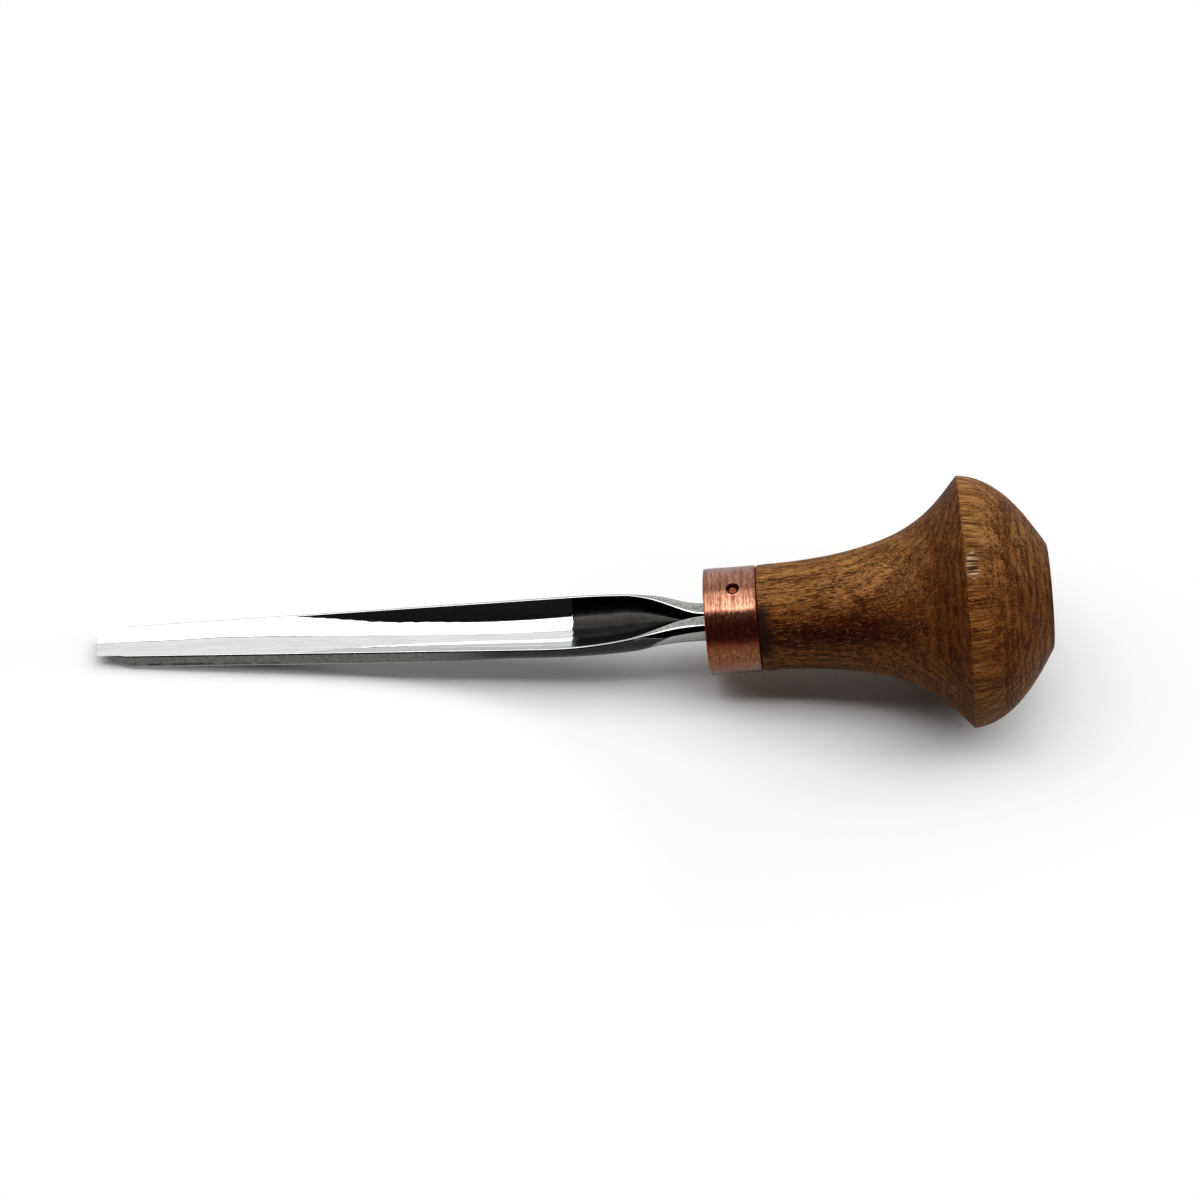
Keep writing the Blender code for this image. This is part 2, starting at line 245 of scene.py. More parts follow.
# %% Shader values
class Field:
    """One socket of a material; arithmetic on it adds Math nodes."""

    def __init__(self, tree, socket=None):
        self.tree = tree
        self.socket = socket

    def node(self, kind, settings={}, sockets={}, out=0):
        """Any node: its settings first, then the values or links of its sockets."""
        made = self.tree.nodes.new(kind)
        for name, value in settings.items():
            setattr(made, name, value)
        for key, value in sockets.items():
            if isinstance(value, Field):
                self.tree.links.new(value.socket, made.inputs[key])
            else:
                made.inputs[key].default_value = value
        return Field(self.tree, made.outputs[out])

    def maths(self, operation, *values):
        """One Math node: the operation on one or two values."""
        return self.node("ShaderNodeMath", {"operation": operation}, dict(enumerate(values)))

    def __add__(self, other):
        return self.maths("ADD", self, other)

    def __sub__(self, other):
        return self.maths("SUBTRACT", self, other)

    def __rsub__(self, other):
        return self.maths("SUBTRACT", other, self)

    def __mul__(self, other):
        return self.maths("MULTIPLY", self, other)

    def __truediv__(self, other):
        return self.maths("DIVIDE", self, other)

    def __abs__(self):
        return self.maths("ABSOLUTE", self)

    __radd__ = __add__
    __rmul__ = __mul__

    def larger(self, other):
        """The larger of two values."""
        return self.maths("MAXIMUM", self, other)

    def step(self, low, high):
        """0 below low, 1 above high, smooth between them."""
        sockets = {"Value": self, "From Min": low, "From Max": high}
        return self.node("ShaderNodeMapRange", {"interpolation_type": "SMOOTHSTEP"}, sockets)

    def hypot(self, other):
        """The square root of the sum of two squares: how far apart in two directions."""
        square = self * self + other * other
        return square.maths("SQRT", square)

    def mix(self, start, end, blend="MIX"):
        """A colour between two, or a colour tinted, with this value as the share of the second."""
        settings = {"data_type": "RGBA", "blend_type": blend}
        return self.node("ShaderNodeMix", settings, {0: self, 6: start, 7: end}, 2)

    def stretched(self, x, y, z):
        """A place with each axis multiplied."""
        return self.node("ShaderNodeVectorMath", {"operation": "MULTIPLY"}, {0: self, 1: (x, y, z)})

    def noise(self, detail=2.0, roughness=0.5):
        """Cloudy values about 0.5, with features about 1 across in this place's units."""
        sockets = {"Vector": self, "Scale": 1.0, "Detail": detail, "Roughness": roughness}
        return self.node("ShaderNodeTexNoise", {}, sockets)

    def axes(self):
        """The x, y and z of a place."""
        apart = self.node("ShaderNodeSeparateXYZ", {}, {0: self}).socket.node
        return [Field(self.tree, apart.outputs[i]) for i in range(3)]

    def weight(self, label):
        """A number stored on the piece's points."""
        return self.node("ShaderNodeAttribute", {"attribute_name": label}, {}, "Fac")


print("a Field has", sum(not name.startswith("_") for name in vars(Field)), "named methods")

# %% [markdown]
# ## A new finish
# Every finish starts from the same place: Object coordinates, turned by a Mapping node into the
# tool's own frame in millimetres, so that a pattern's size can be read off in millimetres too.
# Every finish also ends in the same way, at the sockets of one Principled shader with a bump.

# %% Start and end of a finish
def new_finish(name):
    """A material, and the place of each point in the tool's frame, in millimetres."""
    made = bpy.data.materials.new(name)
    made.use_nodes = True
    tree = made.node_tree
    place = Field(tree).node("ShaderNodeTexCoord", {}, {}, "Object")
    sockets = {
        "Vector": place,
        "Location": TOOL_ORIGIN.tolist(),
        "Rotation": (0, -TILT, 0),
        "Scale": (MM, MM, MM),
    }
    return made, place.node("ShaderNodeMapping", {"vector_type": "TEXTURE"}, sockets)


def set_surface(finish, relief, depth, **values):
    """Fill the shader's sockets, and raise the relief, of a depth in mm, as bump."""
    shader = finish.node_tree.nodes["Principled BSDF"]
    sockets = {"Height": relief, "Distance": depth * MM, "Strength": 1.0}
    values["Normal"] = relief.node("ShaderNodeBump", {}, sockets)
    for name, value in values.items():
        socket = shader.inputs[name.replace("_", " ")]
        if isinstance(value, Field):
            finish.node_tree.links.new(value.socket, socket)
        else:
            socket.default_value = value
    print(finish.name, "has", len(finish.node_tree.nodes), "nodes")


print("1 mm of a pattern is", MM, "m of the tool")

# %% [markdown]
# ## Steel
# The inside of the flute is polished to a mirror. The polish ends at a ragged line, where a
# buffing wheel can't follow the shoulder, and behind it the steel keeps its black forge skin. The
# flanks are only ground. The blade's points carry five numbers for this: how far along they are,
# whether they lie in the flute, and whether they are a ground facet, a bright strip or black. The
# bright weight also holds a painted highlight on the burr, and the black one holds painted shade.

# %% Where the steel is polished, and its patterns
POLISH_END, RAGGED, POLISH_LINE = 22.9, 1.2, 0.12

steel, place = new_finish("polished_and_forged_steel")
along = place.weight("along")
in_flute = place.weight("flute")
on_facet = place.weight("facet")
# the bright strip weight also holds the burr's painted highlight
bright_strip_and_highlight = place.weight("strip")
# forge skin, and painted shade: a line on the flank's top edge and dashes above the burr
forged = place.weight("forged")

ragged = place.stretched(0.7, 1.3, 0.7).noise(5.0, 0.72)
behind_polish = POLISH_END + RAGGED * (ragged - 0.5) - along
unpolished = in_flute * behind_polish.step(-POLISH_LINE, POLISH_LINE)
polished = in_flute * (1 - unpolished)
skin_and_shade = unpolished + forged

grit = place.stretched(1.6, 3.6, 3.6).noise(5.0, 0.75)
buffing = place.stretched(0.12, 9.0, 9.0).noise(3.0, 0.6)
cloud = place.stretched(0.25, 0.5, 0.5).noise(3.0, 0.6)
pits = place.stretched(3.0, 3.0, 3.0).noise(4.0, 0.7).step(0.58, 0.72)
scratches = place.stretched(0.35, 7.0, 7.0).noise(4.0, 0.7)
wash = place.stretched(0.03, 1.6, 1.6).noise(4.0, 0.65)
print("the polish ends", POLISH_END, "mm from the ferrule")

# %% [markdown]
# ### Colour and shine of the steel
# Steel has little colour of its own: what changes is how dark and how rough it is. Most kinds of
# surface mix a pale and a dark tone by a pattern, and the masks choose between the kinds. The
# mirror keeps almost no roughness and no relief, because either would blur what it reflects.

# %% Steel finish
MIRROR_PALE, MIRROR_DARK = (0.80, 0.81, 0.81, 1), (0.68, 0.69, 0.69, 1)
BRIGHT_STEEL = (0.52, 0.52, 0.50, 1)
GROUND_PALE, GROUND_DARK = (0.185, 0.185, 0.172, 1), (0.042, 0.042, 0.038, 1)
FACET_PALE, FACET_DARK = (0.38, 0.38, 0.36, 1), (0.11, 0.11, 0.10, 1)
SKIN_PALE, SKIN_DARK = (0.030, 0.028, 0.026, 1), (0.012, 0.011, 0.010, 1)
STEEL_RELIEF = 0.02

ground = grit.step(0.30, 0.72).mix(GROUND_DARK, GROUND_PALE)
facet = (grit * 0.6 + scratches * 0.5).step(0.35, 0.75).mix(FACET_DARK, FACET_PALE)
bare = bright_strip_and_highlight.mix(on_facet.mix(ground, facet), BRIGHT_STEEL)
mirror = wash.step(0.30, 0.70).mix(MIRROR_DARK, MIRROR_PALE)
shine = polished.mix(bare, mirror)
scale = (cloud * 0.8 + pits * 0.4).step(0.2, 0.9).mix(SKIN_DARK, SKIN_PALE)

unskinned = (1 - polished) * (1 - skin_and_shade)
smooth = 0.032 + 0.02 * buffing
rough = 0.26 + 0.20 * grit - 0.10 * on_facet - 0.12 * bright_strip_and_highlight
worked = polished * smooth + (1 - polished) * rough
set_surface(
    steel,
    polished * buffing * 0.02 + unskinned * grit * 0.6 + skin_and_shade * pits * 0.25,
    STEEL_RELIEF,
    Base_Color=skin_and_shade.mix(shine, scale),
    Roughness=(1 - skin_and_shade) * worked + skin_and_shade * (0.13 + 0.12 * cloud + 0.12 * pits),
    Metallic=1.0,
)

# %% [markdown]
# ## The blade
# A gouge's blade is forged from flat bar: the shank is a bar with chamfered corners, slit where
# the flute closes, and the shoulder opens it into a long shallow trough that ends in a bevel.
# It could be modelled by pulling vertices about, but a loft says it better: at each distance
# along, a few sizes give a cross-section, and the sections are joined. The lists below are those
# sizes, in millimetres. The sections lie closer up to the shoulder, where the shape changes most.

# %% Blade sizes
BLADE_LENGTH, SHOULDER, BEVEL, TANG = 103.6, 29.0, 5.2, 32.0
HEEL = BLADE_LENGTH - BEVEL
SHANK_WIDTH, FLUTE_WIDTH, TIP_WIDTH, TANG_END = 4.5, 10.7, 5.8, 2.2
SHANK_TOP, WING_TOP, TIP_TOP, SHOULDER_RISE = 2.2, 1.65, 1.8, 0.9
SHANK_BOTTOM, DEPTH = -2.5, 3.7
SLIT_WIDTH, SLIT_DEPTH, SLIT_RUNOUT = 0.5, 1.8, 3.0
FLUTE_DEPTH, TIP_FLUTE_DEPTH, FLUTE_RUN = 2.6, 0.6, 56.0
WING_WALL, CUTTING_EDGE, NECK = 0.27, 0.13, 14.0
FRONT_PULL, SHANK_PULL, TANG_STOP = 0.71, 0.25, -0.3
TANG_SECTIONS, SHOULDER_SECTIONS, FLUTE_SECTIONS, BEVEL_SECTIONS = 10, 165, 250, 30

stations = np.concatenate((
    np.linspace(-TANG, TANG_STOP, TANG_SECTIONS),
    np.linspace(0.0, SHOULDER, SHOULDER_SECTIONS),
    np.linspace(SHOULDER, HEEL, FLUTE_SECTIONS)[1:],
    np.linspace(HEEL, BLADE_LENGTH, BEVEL_SECTIONS)[1:],
))[:, None]
print(len(stations), "sections from", stations[0, 0], "to", stations[-1, 0], "mm")

# %% [markdown]
# ### Sizes along the blade
# Each size becomes a column of numbers, one for every section. A cubic curve carries the width
# over the shoulder and meets the straight taper of the flute without a kink. The flute is
# deepest at the shoulder and shallows towards the edge.

# %% Widths, heights and walls along the blade
shares = np.linspace(0.0, 1.0, 400)
shoulder_curve = bezier(0.0, SHANK_PULL * SHOULDER, (1 - FRONT_PULL) * SHOULDER, SHOULDER, shares)
shoulder_share = np.interp(stations, shoulder_curve, shares)
blend = ease(shoulder_share)
flute_share = np.clip((stations - SHOULDER) / (BLADE_LENGTH - SHOULDER), 0, 1)
tang_share = np.clip(-stations / TANG, 0, 1)

taper = (FLUTE_WIDTH - TIP_WIDTH) / (BLADE_LENGTH - SHOULDER)
crest_pull = FLUTE_WIDTH + taper * FRONT_PULL * SHOULDER
width = bezier(SHANK_WIDTH, SHANK_WIDTH, crest_pull, FLUTE_WIDTH, shoulder_share)
width = width + (TIP_WIDTH - FLUTE_WIDTH) * flute_share + (TANG_END - SHANK_WIDTH) * tang_share
half = width / 2
top = lerp(SHANK_TOP, WING_TOP, blend) + SHOULDER_RISE * 4 * blend * (1 - blend)
top = top + (TIP_TOP - WING_TOP) * flute_share + (TANG_END / 2 - SHANK_TOP) * tang_share
open_slit = ease(1 + stations / SLIT_RUNOUT)
flute_depth = lerp(SLIT_DEPTH, FLUTE_DEPTH, blend)
flute_depth = lerp(flute_depth, TIP_FLUTE_DEPTH, ease((stations - SHOULDER) / FLUTE_RUN))
flute_depth = flute_depth * open_slit
wall = lerp((SHANK_WIDTH - SLIT_WIDTH) / 2, WING_WALL, ease(stations / NECK))
wall = lerp(wall, CUTTING_EDGE, flute_share) + (TANG_END - SHANK_WIDTH) / 2 * tang_share
hollow_half = half - wall
middle = (half + hollow_half) / 2
print("widest", width.max().round(2), "mm, thinnest wall", wall.min().round(2), "mm")

# %% [markdown]
# ### The strip and the chamfer
# A thin bright strip runs along the wing's top edge, as if rubbed over a stone. Along the shank
# the corner below it is chamfered, and the chamfer dies out into the shoulder. Underneath, the
# shank's face rises a little towards the neck. All of these are sizes that change along the blade.

# %% Strip, chamfer and bottom
STRIP_NECK, STRIP_FLUTE, STRIP_SLOPE, STRIP_LIMIT = 0.24, 0.08, 0.34, 0.45
STRIP_FROM, STRIP_RUN, STRIP_START, STRIP_GROWTH = 3.0, 9.0, 0.3, 4.0
CHAMFER_SHANK, CHAMFER_GROWTH, CHAMFER_FADE, CHAMFER_END = 0.7, 0.02, 6.5, 12.5
CHAMFER_LIFT, SOFT_EDGE = 0.8, 0.15
LIFT_SHANK, LIFT_NECK, LIFT_TOP, LIFT_END = 0.36, 1.14, 7.8, 12.0

strip_fade = ease((stations - STRIP_FROM) / STRIP_RUN)
strip = lerp(STRIP_NECK, STRIP_FLUTE, strip_fade)
strip = strip * (STRIP_START + (1 - STRIP_START) * ease(stations / STRIP_GROWTH))
strip = np.minimum(strip, STRIP_LIMIT * wall)
strip_drop = strip * STRIP_SLOPE
chamfer = (CHAMFER_SHANK + CHAMFER_GROWTH * np.clip(stations, 0, None)) * (1 - tang_share)
chamfer = chamfer * (1 - ease((stations - CHAMFER_FADE) / (CHAMFER_END - CHAMFER_FADE)))
chamfer = np.maximum(chamfer, SOFT_EDGE)
bottom = lerp(SHANK_BOTTOM, WING_TOP - DEPTH, blend) + CHAMFER_LIFT * (chamfer - SOFT_EDGE)
lift = lerp(LIFT_SHANK, LIFT_NECK, ease(stations / LIFT_TOP)) * (1 - tang_share)
bottom = bottom + lift * (1 - ease((stations - LIFT_TOP) / (LIFT_END - LIFT_TOP)))
bottom = bottom + (TIP_TOP - WING_TOP) * flute_share - (TANG_END / 2 + SHANK_BOTTOM) * tang_share
print("strip up to", strip.max().round(3), "mm, chamfer up to", chamfer.max().round(2), "mm")

# %% [markdown]
# ### The underside
# Seen in section, the outside goes from the middle of the wing's top over the bright strip and
# the chamfer to the flank, turns a corner and crosses underneath. Near the shank the corner is
# soft, a superellipse; along the flute the flank is ground flat and meets the underside at a
# sharp arris, with a small burr that catches the light. One side is worked out and mirrored.

# %% Outside of the blade
FLANK_SHARE, FLANK_TURN, LIP, LIP_SHARE = 0.79, 0.42, 0.09, 0.14
SHANK_SQUARE, FLUTE_SQUARE, TIP_SQUARE = 0.20, 0.50, 0.25
ARRIS_FROM, ARRIS_RUN = 33.0, 18.0
TOP_COUNT, STRIP_COUNT, CHAMFER_COUNT, UNDER_COUNT = 3, 3, 4, 38
SHORT = 0.8

squareness = lerp(lerp(SHANK_SQUARE, FLUTE_SQUARE, blend), TIP_SQUARE, flute_share)
arris = ease((stations - ARRIS_FROM) / ARRIS_RUN)


def over(start, end, count):
    """Shares from start to end, one row for all sections."""
    return np.linspace(start, end, count)[None, :]


def underside(turn):
    """Side and drop, as shares of half width and depth, from the chamfer to the middle.

    The superellipse is the point at an angle, scaled so that cos^n + sin^n is 1. The ground
    form is a straight flank with a lip, then a parabola.
    """
    angle = turn * math.pi / 2
    power = 2 / squareness
    reach = (np.cos(angle) ** power + np.sin(angle) ** power) ** (1 / power)
    soft = np.cos(angle) / reach, np.sin(angle) / reach
    flank = np.clip(turn / FLANK_TURN, 0, 1)
    across = 1 - np.clip((turn - FLANK_TURN) / (1 - FLANK_TURN), 0, 1)
    lip = LIP * np.clip(1 - (1 - flank) / LIP_SHARE, 0, 1) ** 2 * (turn <= FLANK_TURN)
    cut = across + lip / half, FLANK_SHARE * flank + (1 - FLANK_SHARE) * (1 - across**2)
    return [lerp(a, b, arris) for a, b in zip(soft, cut)]


# Every stretch but the last stops short of its end, where the next one starts.
side_share, drop_share = underside(over(0.0, 1.0, UNDER_COUNT))
brink = top - strip_drop - chamfer
one_side = np.concatenate((
    lerp(middle, half - strip, over(0, SHORT, TOP_COUNT)),
    lerp(half - strip, half, over(0, SHORT, STRIP_COUNT)),
    lerp(half, half + chamfer, over(0, SHORT, CHAMFER_COUNT)),
    (half + chamfer) * side_share,
), axis=1)
one_height = np.concatenate((
    top + 0 * over(0, 1, TOP_COUNT),
    top - strip_drop * over(0, SHORT, STRIP_COUNT),
    top - strip_drop - chamfer * over(0, SHORT, CHAMFER_COUNT),
    lerp(brink, bottom, drop_share),
), axis=1)
outer_side = np.concatenate((one_side, -one_side[:, -2::-1]), axis=1)
outer_height = np.concatenate((one_height, one_height[:, -2::-1]), axis=1)
print("outside:", outer_side.shape)

# %% [markdown]
# ### The flute
# Inside, a shallow bow runs from wing to wing, softened at both edges; near the handle it closes
# to a slit. A polished surface shows every hollow in its reflections, so it gets a waviness of a
# few thousandths of a millimetre, and on the far side a stronger ripple, as a wheel leaves it.

# %% Flute
SLIT_CURVE, FLUTE_CURVE = 1.0, 2.0
HAND_POLISH, POLISH_WAVE = 0.0035, 9.0
RIPPLE, RIPPLE_WAVE, RIPPLE_END, RIPPLE_FADE = 0.012, 2.8, 66.0, 9.0
INNER_STRIP_NECK, INNER_STRIP_FLUTE = 0.16, 0.08
RIM_COUNT = TOP_COUNT + STRIP_COUNT

inner_count = outer_side.shape[1] - 2
sweep = over(0, math.pi, inner_count - 2 * RIM_COUNT)
curve = lerp(SLIT_CURVE, FLUTE_CURVE, blend)
inner_strip = lerp(INNER_STRIP_NECK, INNER_STRIP_FLUTE, strip_fade)
inner_strip = np.minimum(inner_strip, STRIP_LIMIT * wall)
lip_side = hollow_half + inner_strip
lip_drop = inner_strip * STRIP_SLOPE * open_slit
near_rim = np.concatenate((
    lerp(middle, lip_side, over(0.25, SHORT, TOP_COUNT)),
    lerp(lip_side, hollow_half, over(0, SHORT, STRIP_COUNT)),
), axis=1)
rim_drop = np.concatenate((over(0, 0, TOP_COUNT), over(0, SHORT, STRIP_COUNT)), axis=1)
rim_height = top - lip_drop * rim_drop
hollow_side = hollow_half * np.cos(sweep)
hollow_drop = np.maximum(np.sin(sweep), 0) ** curve
hollow_height = top - lip_drop - (flute_depth - lip_drop) * hollow_drop
wave = waviness(stations, hollow_side * 4, POLISH_WAVE, seed=3)
far_side = ease(-2 * hollow_side / hollow_half)
ripple = waviness(stations, hollow_side * 2, RIPPLE_WAVE, seed=4) * far_side
ripple = ripple * (1 - ease((stations - RIPPLE_END) / RIPPLE_FADE))
hollow_height = hollow_height + (HAND_POLISH * wave + RIPPLE * ripple) * np.sin(sweep) * arris
inner_side = np.concatenate((-near_rim, -hollow_side, near_rim[:, ::-1]), axis=1)
inner_height = np.concatenate((rim_height, hollow_height, rim_height[:, ::-1]), axis=1)
print("flute:", inner_side.shape, "deepest", flute_depth.max().round(2), "mm")

# %% [markdown]
# ### The bevel and the bend
# The bevel draws the outside straight up to the cutting edge, which bows forward in the middle.
# Then every point is put on the blade's line, which bends up by about 3 degrees out of the handle
# on a short arc and goes on straight. Last, faces across them close the tang's end and the edge.

# %% Bevel, bend and ends
EDGE_LEAD = 0.2
SET_ANGLE, BEND = math.radians(3.3), 4.0

bevel_share = np.clip((stations - HEEL) / BEVEL, 0, 1)
edge_sweep = np.linspace(math.pi, 0, outer_side.shape[1])[None, :]
edge_side = TIP_WIDTH / 2 * -np.cos(edge_sweep)
edge_height = TIP_TOP - (TIP_FLUTE_DEPTH + CUTTING_EDGE) * np.sin(edge_sweep) ** FLUTE_CURVE
outer_side = lerp(outer_side, edge_side, bevel_share)
outer_height = lerp(outer_height, edge_height, bevel_share)

side = np.concatenate((outer_side, inner_side), axis=1)
height = np.concatenate((outer_height, inner_height), axis=1)
ahead = stations + EDGE_LEAD * bevel_share * (1 - (side / (TIP_WIDTH / 2)) ** 2)
bent = np.clip(ahead, 0, BEND)
angle = SET_ANGLE * bent / BEND
bend_radius = BEND / SET_ANGLE
line_x = -bend_radius * np.sin(angle) - np.cos(angle) * (ahead - bent)
line_z = bend_radius * (1 - np.cos(angle)) + np.sin(angle) * (ahead - bent)
blade_x = line_x + np.sin(angle) * height
blade_z = line_z + np.cos(angle) * height
blade_grid = np.stack((blade_x, side, blade_z), axis=-1)

rings, around = side.shape
lower = np.arange(outer_side.shape[1])
upper = np.concatenate(([0], np.arange(around - 1, len(lower) - 1, -1), [lower[-1]]))
cap = np.stack((lower[:-1], lower[1:], upper[1:], upper[:-1]), axis=-1)
caps = np.concatenate((cap[1:-1, ::-1], cap[1:-1] + (rings - 1) * around))
tips = np.concatenate((cap[[0], :3][:, ::-1], cap[[-1], :][:, [0, 1, 3]][:, ::-1]))
tips = np.concatenate((tips, tips[:, ::-1] + (rings - 1) * around))
print("blade grid:", rings, "x", around)

# %% [markdown]
# ### Bright and black parts
# Which finish a point gets depends on where it lies in its section, so the masks are written by
# column, the same for both sides. By the shank the flank is a bright face that gives way to
# forge-black towards the shoulder, and further on it is bare ground steel with a black line of
# painted shade along its top edge. The burr on the arris is painted bright as a highlight, and a
# few black dashes near the edge are painted shade in the crevice above the burr.

# %% Masks on the flank
STRIP_COLUMN = TOP_COUNT
CHAMFER_COLUMN = STRIP_COLUMN + STRIP_COUNT
FLANK_COLUMN = CHAMFER_COLUMN + CHAMFER_COUNT
FACE_FROM, FACE_FADE, FACE_EDGE, FACE_GLOW, FACE_SHADE = 6.5, 5.0, 0.25, 0.7, 0.75
BLACK_FROM, BLACK_RISE, BLACK_END, BLACK_FADE, BROW_SHADE_LINE = 5.0, 3.0, 34.0, 14.0, 0.8
CREASE_FROM, CREASE_TO, CHAMFER_BLACK = 7.5, 12.5, 2.0
LIP_COLUMN, LIP_FROM, LIP_FULL, LIP_PAINTED_HIGHLIGHT = FLANK_COLUMN + 15, 36.0, 52.0, 0.7
SHADE_DASH_COLUMNS = FLANK_COLUMN + np.array((11, 12, 13))
SHADE_DASH_EDGE, SHADE_DASH_WANDER, SHADE_DASH_WAVE = 0.8, 0.6, 1.5
SHADE_DASHES = (93.9, 1.4, 1.0), (87.8, 3.5, 1.0), (80.0, 2.6, 0.5), (74.5, 1.6, 0.35)

columns = np.arange(one_side.shape[1])[None, :] + 0 * stations
on_flank = columns >= FLANK_COLUMN
brow = columns == FLANK_COLUMN
flank_drop = np.concatenate((np.zeros((rings, FLANK_COLUMN)), drop_share + 0 * stations), axis=1)
face = ease((flank_drop - (stations - FACE_FROM) / FACE_FADE) / FACE_EDGE + 0.5) * on_flank
past_black = ease((stations - BLACK_END) / BLACK_FADE)
dark = (1 - face) * ease((stations - BLACK_FROM) / BLACK_RISE) * (1 - past_black)
black_chamfer = (columns >= CHAMFER_COLUMN) * ease((stations + CHAMFER_BLACK) / CHAMFER_BLACK)
dark = np.where(on_flank, dark, black_chamfer)
# painted shade: a black line along the flank's top edge, past the forge-black
dark = np.maximum(dark, BROW_SHADE_LINE * brow * past_black)
crease = brow * (stations > CREASE_FROM) * (stations < CREASE_TO)
glow = np.where(stations < BLACK_END, FACE_GLOW * face * (1 - FACE_SHADE * flank_drop), 0)
glow = glow + (columns >= STRIP_COLUMN) * (columns < CHAMFER_COLUMN) + crease
# painted highlight: the burr's column is painted as bright steel
burr = (columns == LIP_COLUMN) * ease((stations - LIP_FROM) / (LIP_FULL - LIP_FROM)) * LIP_PAINTED_HIGHLIGHT
# painted shade: black dashes in the crevice above the burr, in the forge skin's colour
shade_dashes = sum(
    depth * ease((reach - np.abs(stations - centre)) / SHADE_DASH_EDGE + 0.5)
    for centre, reach, depth in SHADE_DASHES
)
shade_dashes = shade_dashes * (1.0 + SHADE_DASH_WANDER * waviness(stations, columns * 0.5, SHADE_DASH_WAVE, seed=21))
shade_dashes = np.clip(shade_dashes, 0, 1) * np.isin(columns, SHADE_DASH_COLUMNS)
print("share of the outside that is forge-black: %.2f" % dark.mean())

# %% [markdown]
# ### The whole blade
# The masks of one side are mirrored for the other and then filled in along the flute's own edge.
# On the near side only, the strip is dimmed part of the way along and the dashes of painted shade
# are added. With its grid, its ends and its masks, the blade becomes a piece.

# %% Blade
DIM_FROM, DIM_RISE, DIM_TO, DIM_FADE, DIMMED = 8.0, 3.0, 18.0, 4.0, 0.5


def both_sides(one):
    """Columns of one side, mirrored for the other, with nothing yet inside the flute."""
    return np.concatenate((one, one[:, -2::-1], np.zeros((rings, inner_count))), axis=1)


near = side < 0
dim = ease((stations - DIM_FROM) / DIM_RISE) * (1 - ease((stations - DIM_TO) / DIM_FADE)) * DIMMED
facet_mask = both_sides((columns < TOP_COUNT) * 1.0)
# the bright mask also paints the burr's highlight
strip_and_highlight_mask = both_sides(np.clip(glow + burr, 0, 1)) * (1 - dim * near)
# forge skin, together with the painted shade of the line and the dashes
forged_mask = np.clip(both_sides(dark * (1 - crease)) + both_sides(shade_dashes) * near, 0, 1)
inner_column = np.arange(around) - len(lower)
from_wing = np.minimum(inner_column, inner_count - 1 - inner_column)
flute_mask = (from_wing >= RIM_COUNT) * np.ones((rings, 1))
facet_mask[:, (from_wing >= 0) & (from_wing < TOP_COUNT)] = 1
strip_and_highlight_mask[:, (from_wing >= TOP_COUNT) & (from_wing < RIM_COUNT)] = 1
add_piece(
    "blade_detail",
    "blade",
    steel,
    blade_grid.reshape(-1, 3),
    np.concatenate((grid_quads(rings, around), caps)),
    tips,
    {
        "along": ahead + 0 * side,
        "flute": flute_mask,
        "facet": facet_mask,
        "strip": strip_and_highlight_mask,
        "forged": forged_mask,
    },
)

# %% [markdown]
# ## Wood
# The handle is an open-pored hardwood, oiled. Its grain runs along the handle, so most patterns
# are drawn out along x: growth rings about a pith that lies outside the blank, fine fibres, and
# dark pores that gather at the start of each ring. Because the patterns are solid, the turned
# surface cuts through them as it would through wood: dashes along the bell, dots at the butt.
# On the belt just behind the rim, fine lines cross the edge: there the pattern is noise on x and
# on the direction round the axis, which has no seam.

# %% Grain of the wood
PITH_Y, PITH_Z, RING_WIDTH, RING_DRIFT, RING_WANDER = 14.0, -25.0, 1.5, 7.0, 1.8
RAY_COUNT, RAY_LENGTH = 60.0, 0.12

wood, place = new_finish("oiled_open_grain_wood_with_painted_light")
x, y, z = place.axes()
cut_across = place.weight("end_grain")
on_dome = x.step(43.0, 44.2)
ends = cut_across.step(0.25, 0.75)
belt = on_dome * (1 - cut_across.step(0.20, 0.55))

drift = place.stretched(0.03, 0.09, 0.09).noise(2.0)
wander = place.stretched(0.15, 0.5, 0.5).noise(4.0, 0.6)
from_pith = (y - PITH_Y).hypot(z - PITH_Z)
ring = (from_pith + RING_DRIFT * drift + RING_WANDER * wander) * (1 / RING_WIDTH)
phase = ring.maths("FRACT", ring)
early = phase.step(0.0, 0.15) * (1 - phase.step(0.25, 0.85))

fibre = place.stretched(0.26, 4.4, 4.4).noise(4.0, 0.7)
fleck = place.stretched(1.05, 5.6, 5.6).noise(3.0, 0.65)
streak = place.stretched(0.035, 0.5, 0.5).noise(4.0, 0.65)
turning = place.stretched(1.6, 0.09, 0.09).noise(5.0, 0.75)
from_axis = y.hypot(z)
round_y = RAY_COUNT * (y / from_axis)
round_z = RAY_COUNT * (z / from_axis)
ray_place = place.node("ShaderNodeCombineXYZ", {}, {0: RAY_LENGTH * x, 1: round_y, 2: round_z})
rays = ray_place.noise(4.0, 0.7)
grain = 0.5 * fibre + 0.5 * fleck + 0.2 * on_dome * (fibre - fleck)
grain = (1 - belt) * grain + belt * (0.55 * rays + 0.25 * fleck + 0.11)
tone = grain + 0.35 * streak + ends * (0.4 + 0.35 * on_dome) * (turning - 0.5)
figure = tone.step(0.57, 0.80)
pores = (place.stretched(0.33, 3.8, 3.8).noise(3.0, 0.65) + 0.06 * early).step(0.57, 0.65)
lines = rays.step(0.44, 0.54)
fuzz = place.stretched(1.1, 5.5, 5.5).noise(2.0, 0.6).step(0.36, 0.64)
# pale specks: dust in the pores, and painted glints as if fibres caught the light
dust_and_glint = place.stretched(1.0, 4.2, 4.2).noise(3.0, 0.65).step(0.58, 0.68)
print("grain:", len(wood.node_tree.nodes), "nodes so far")

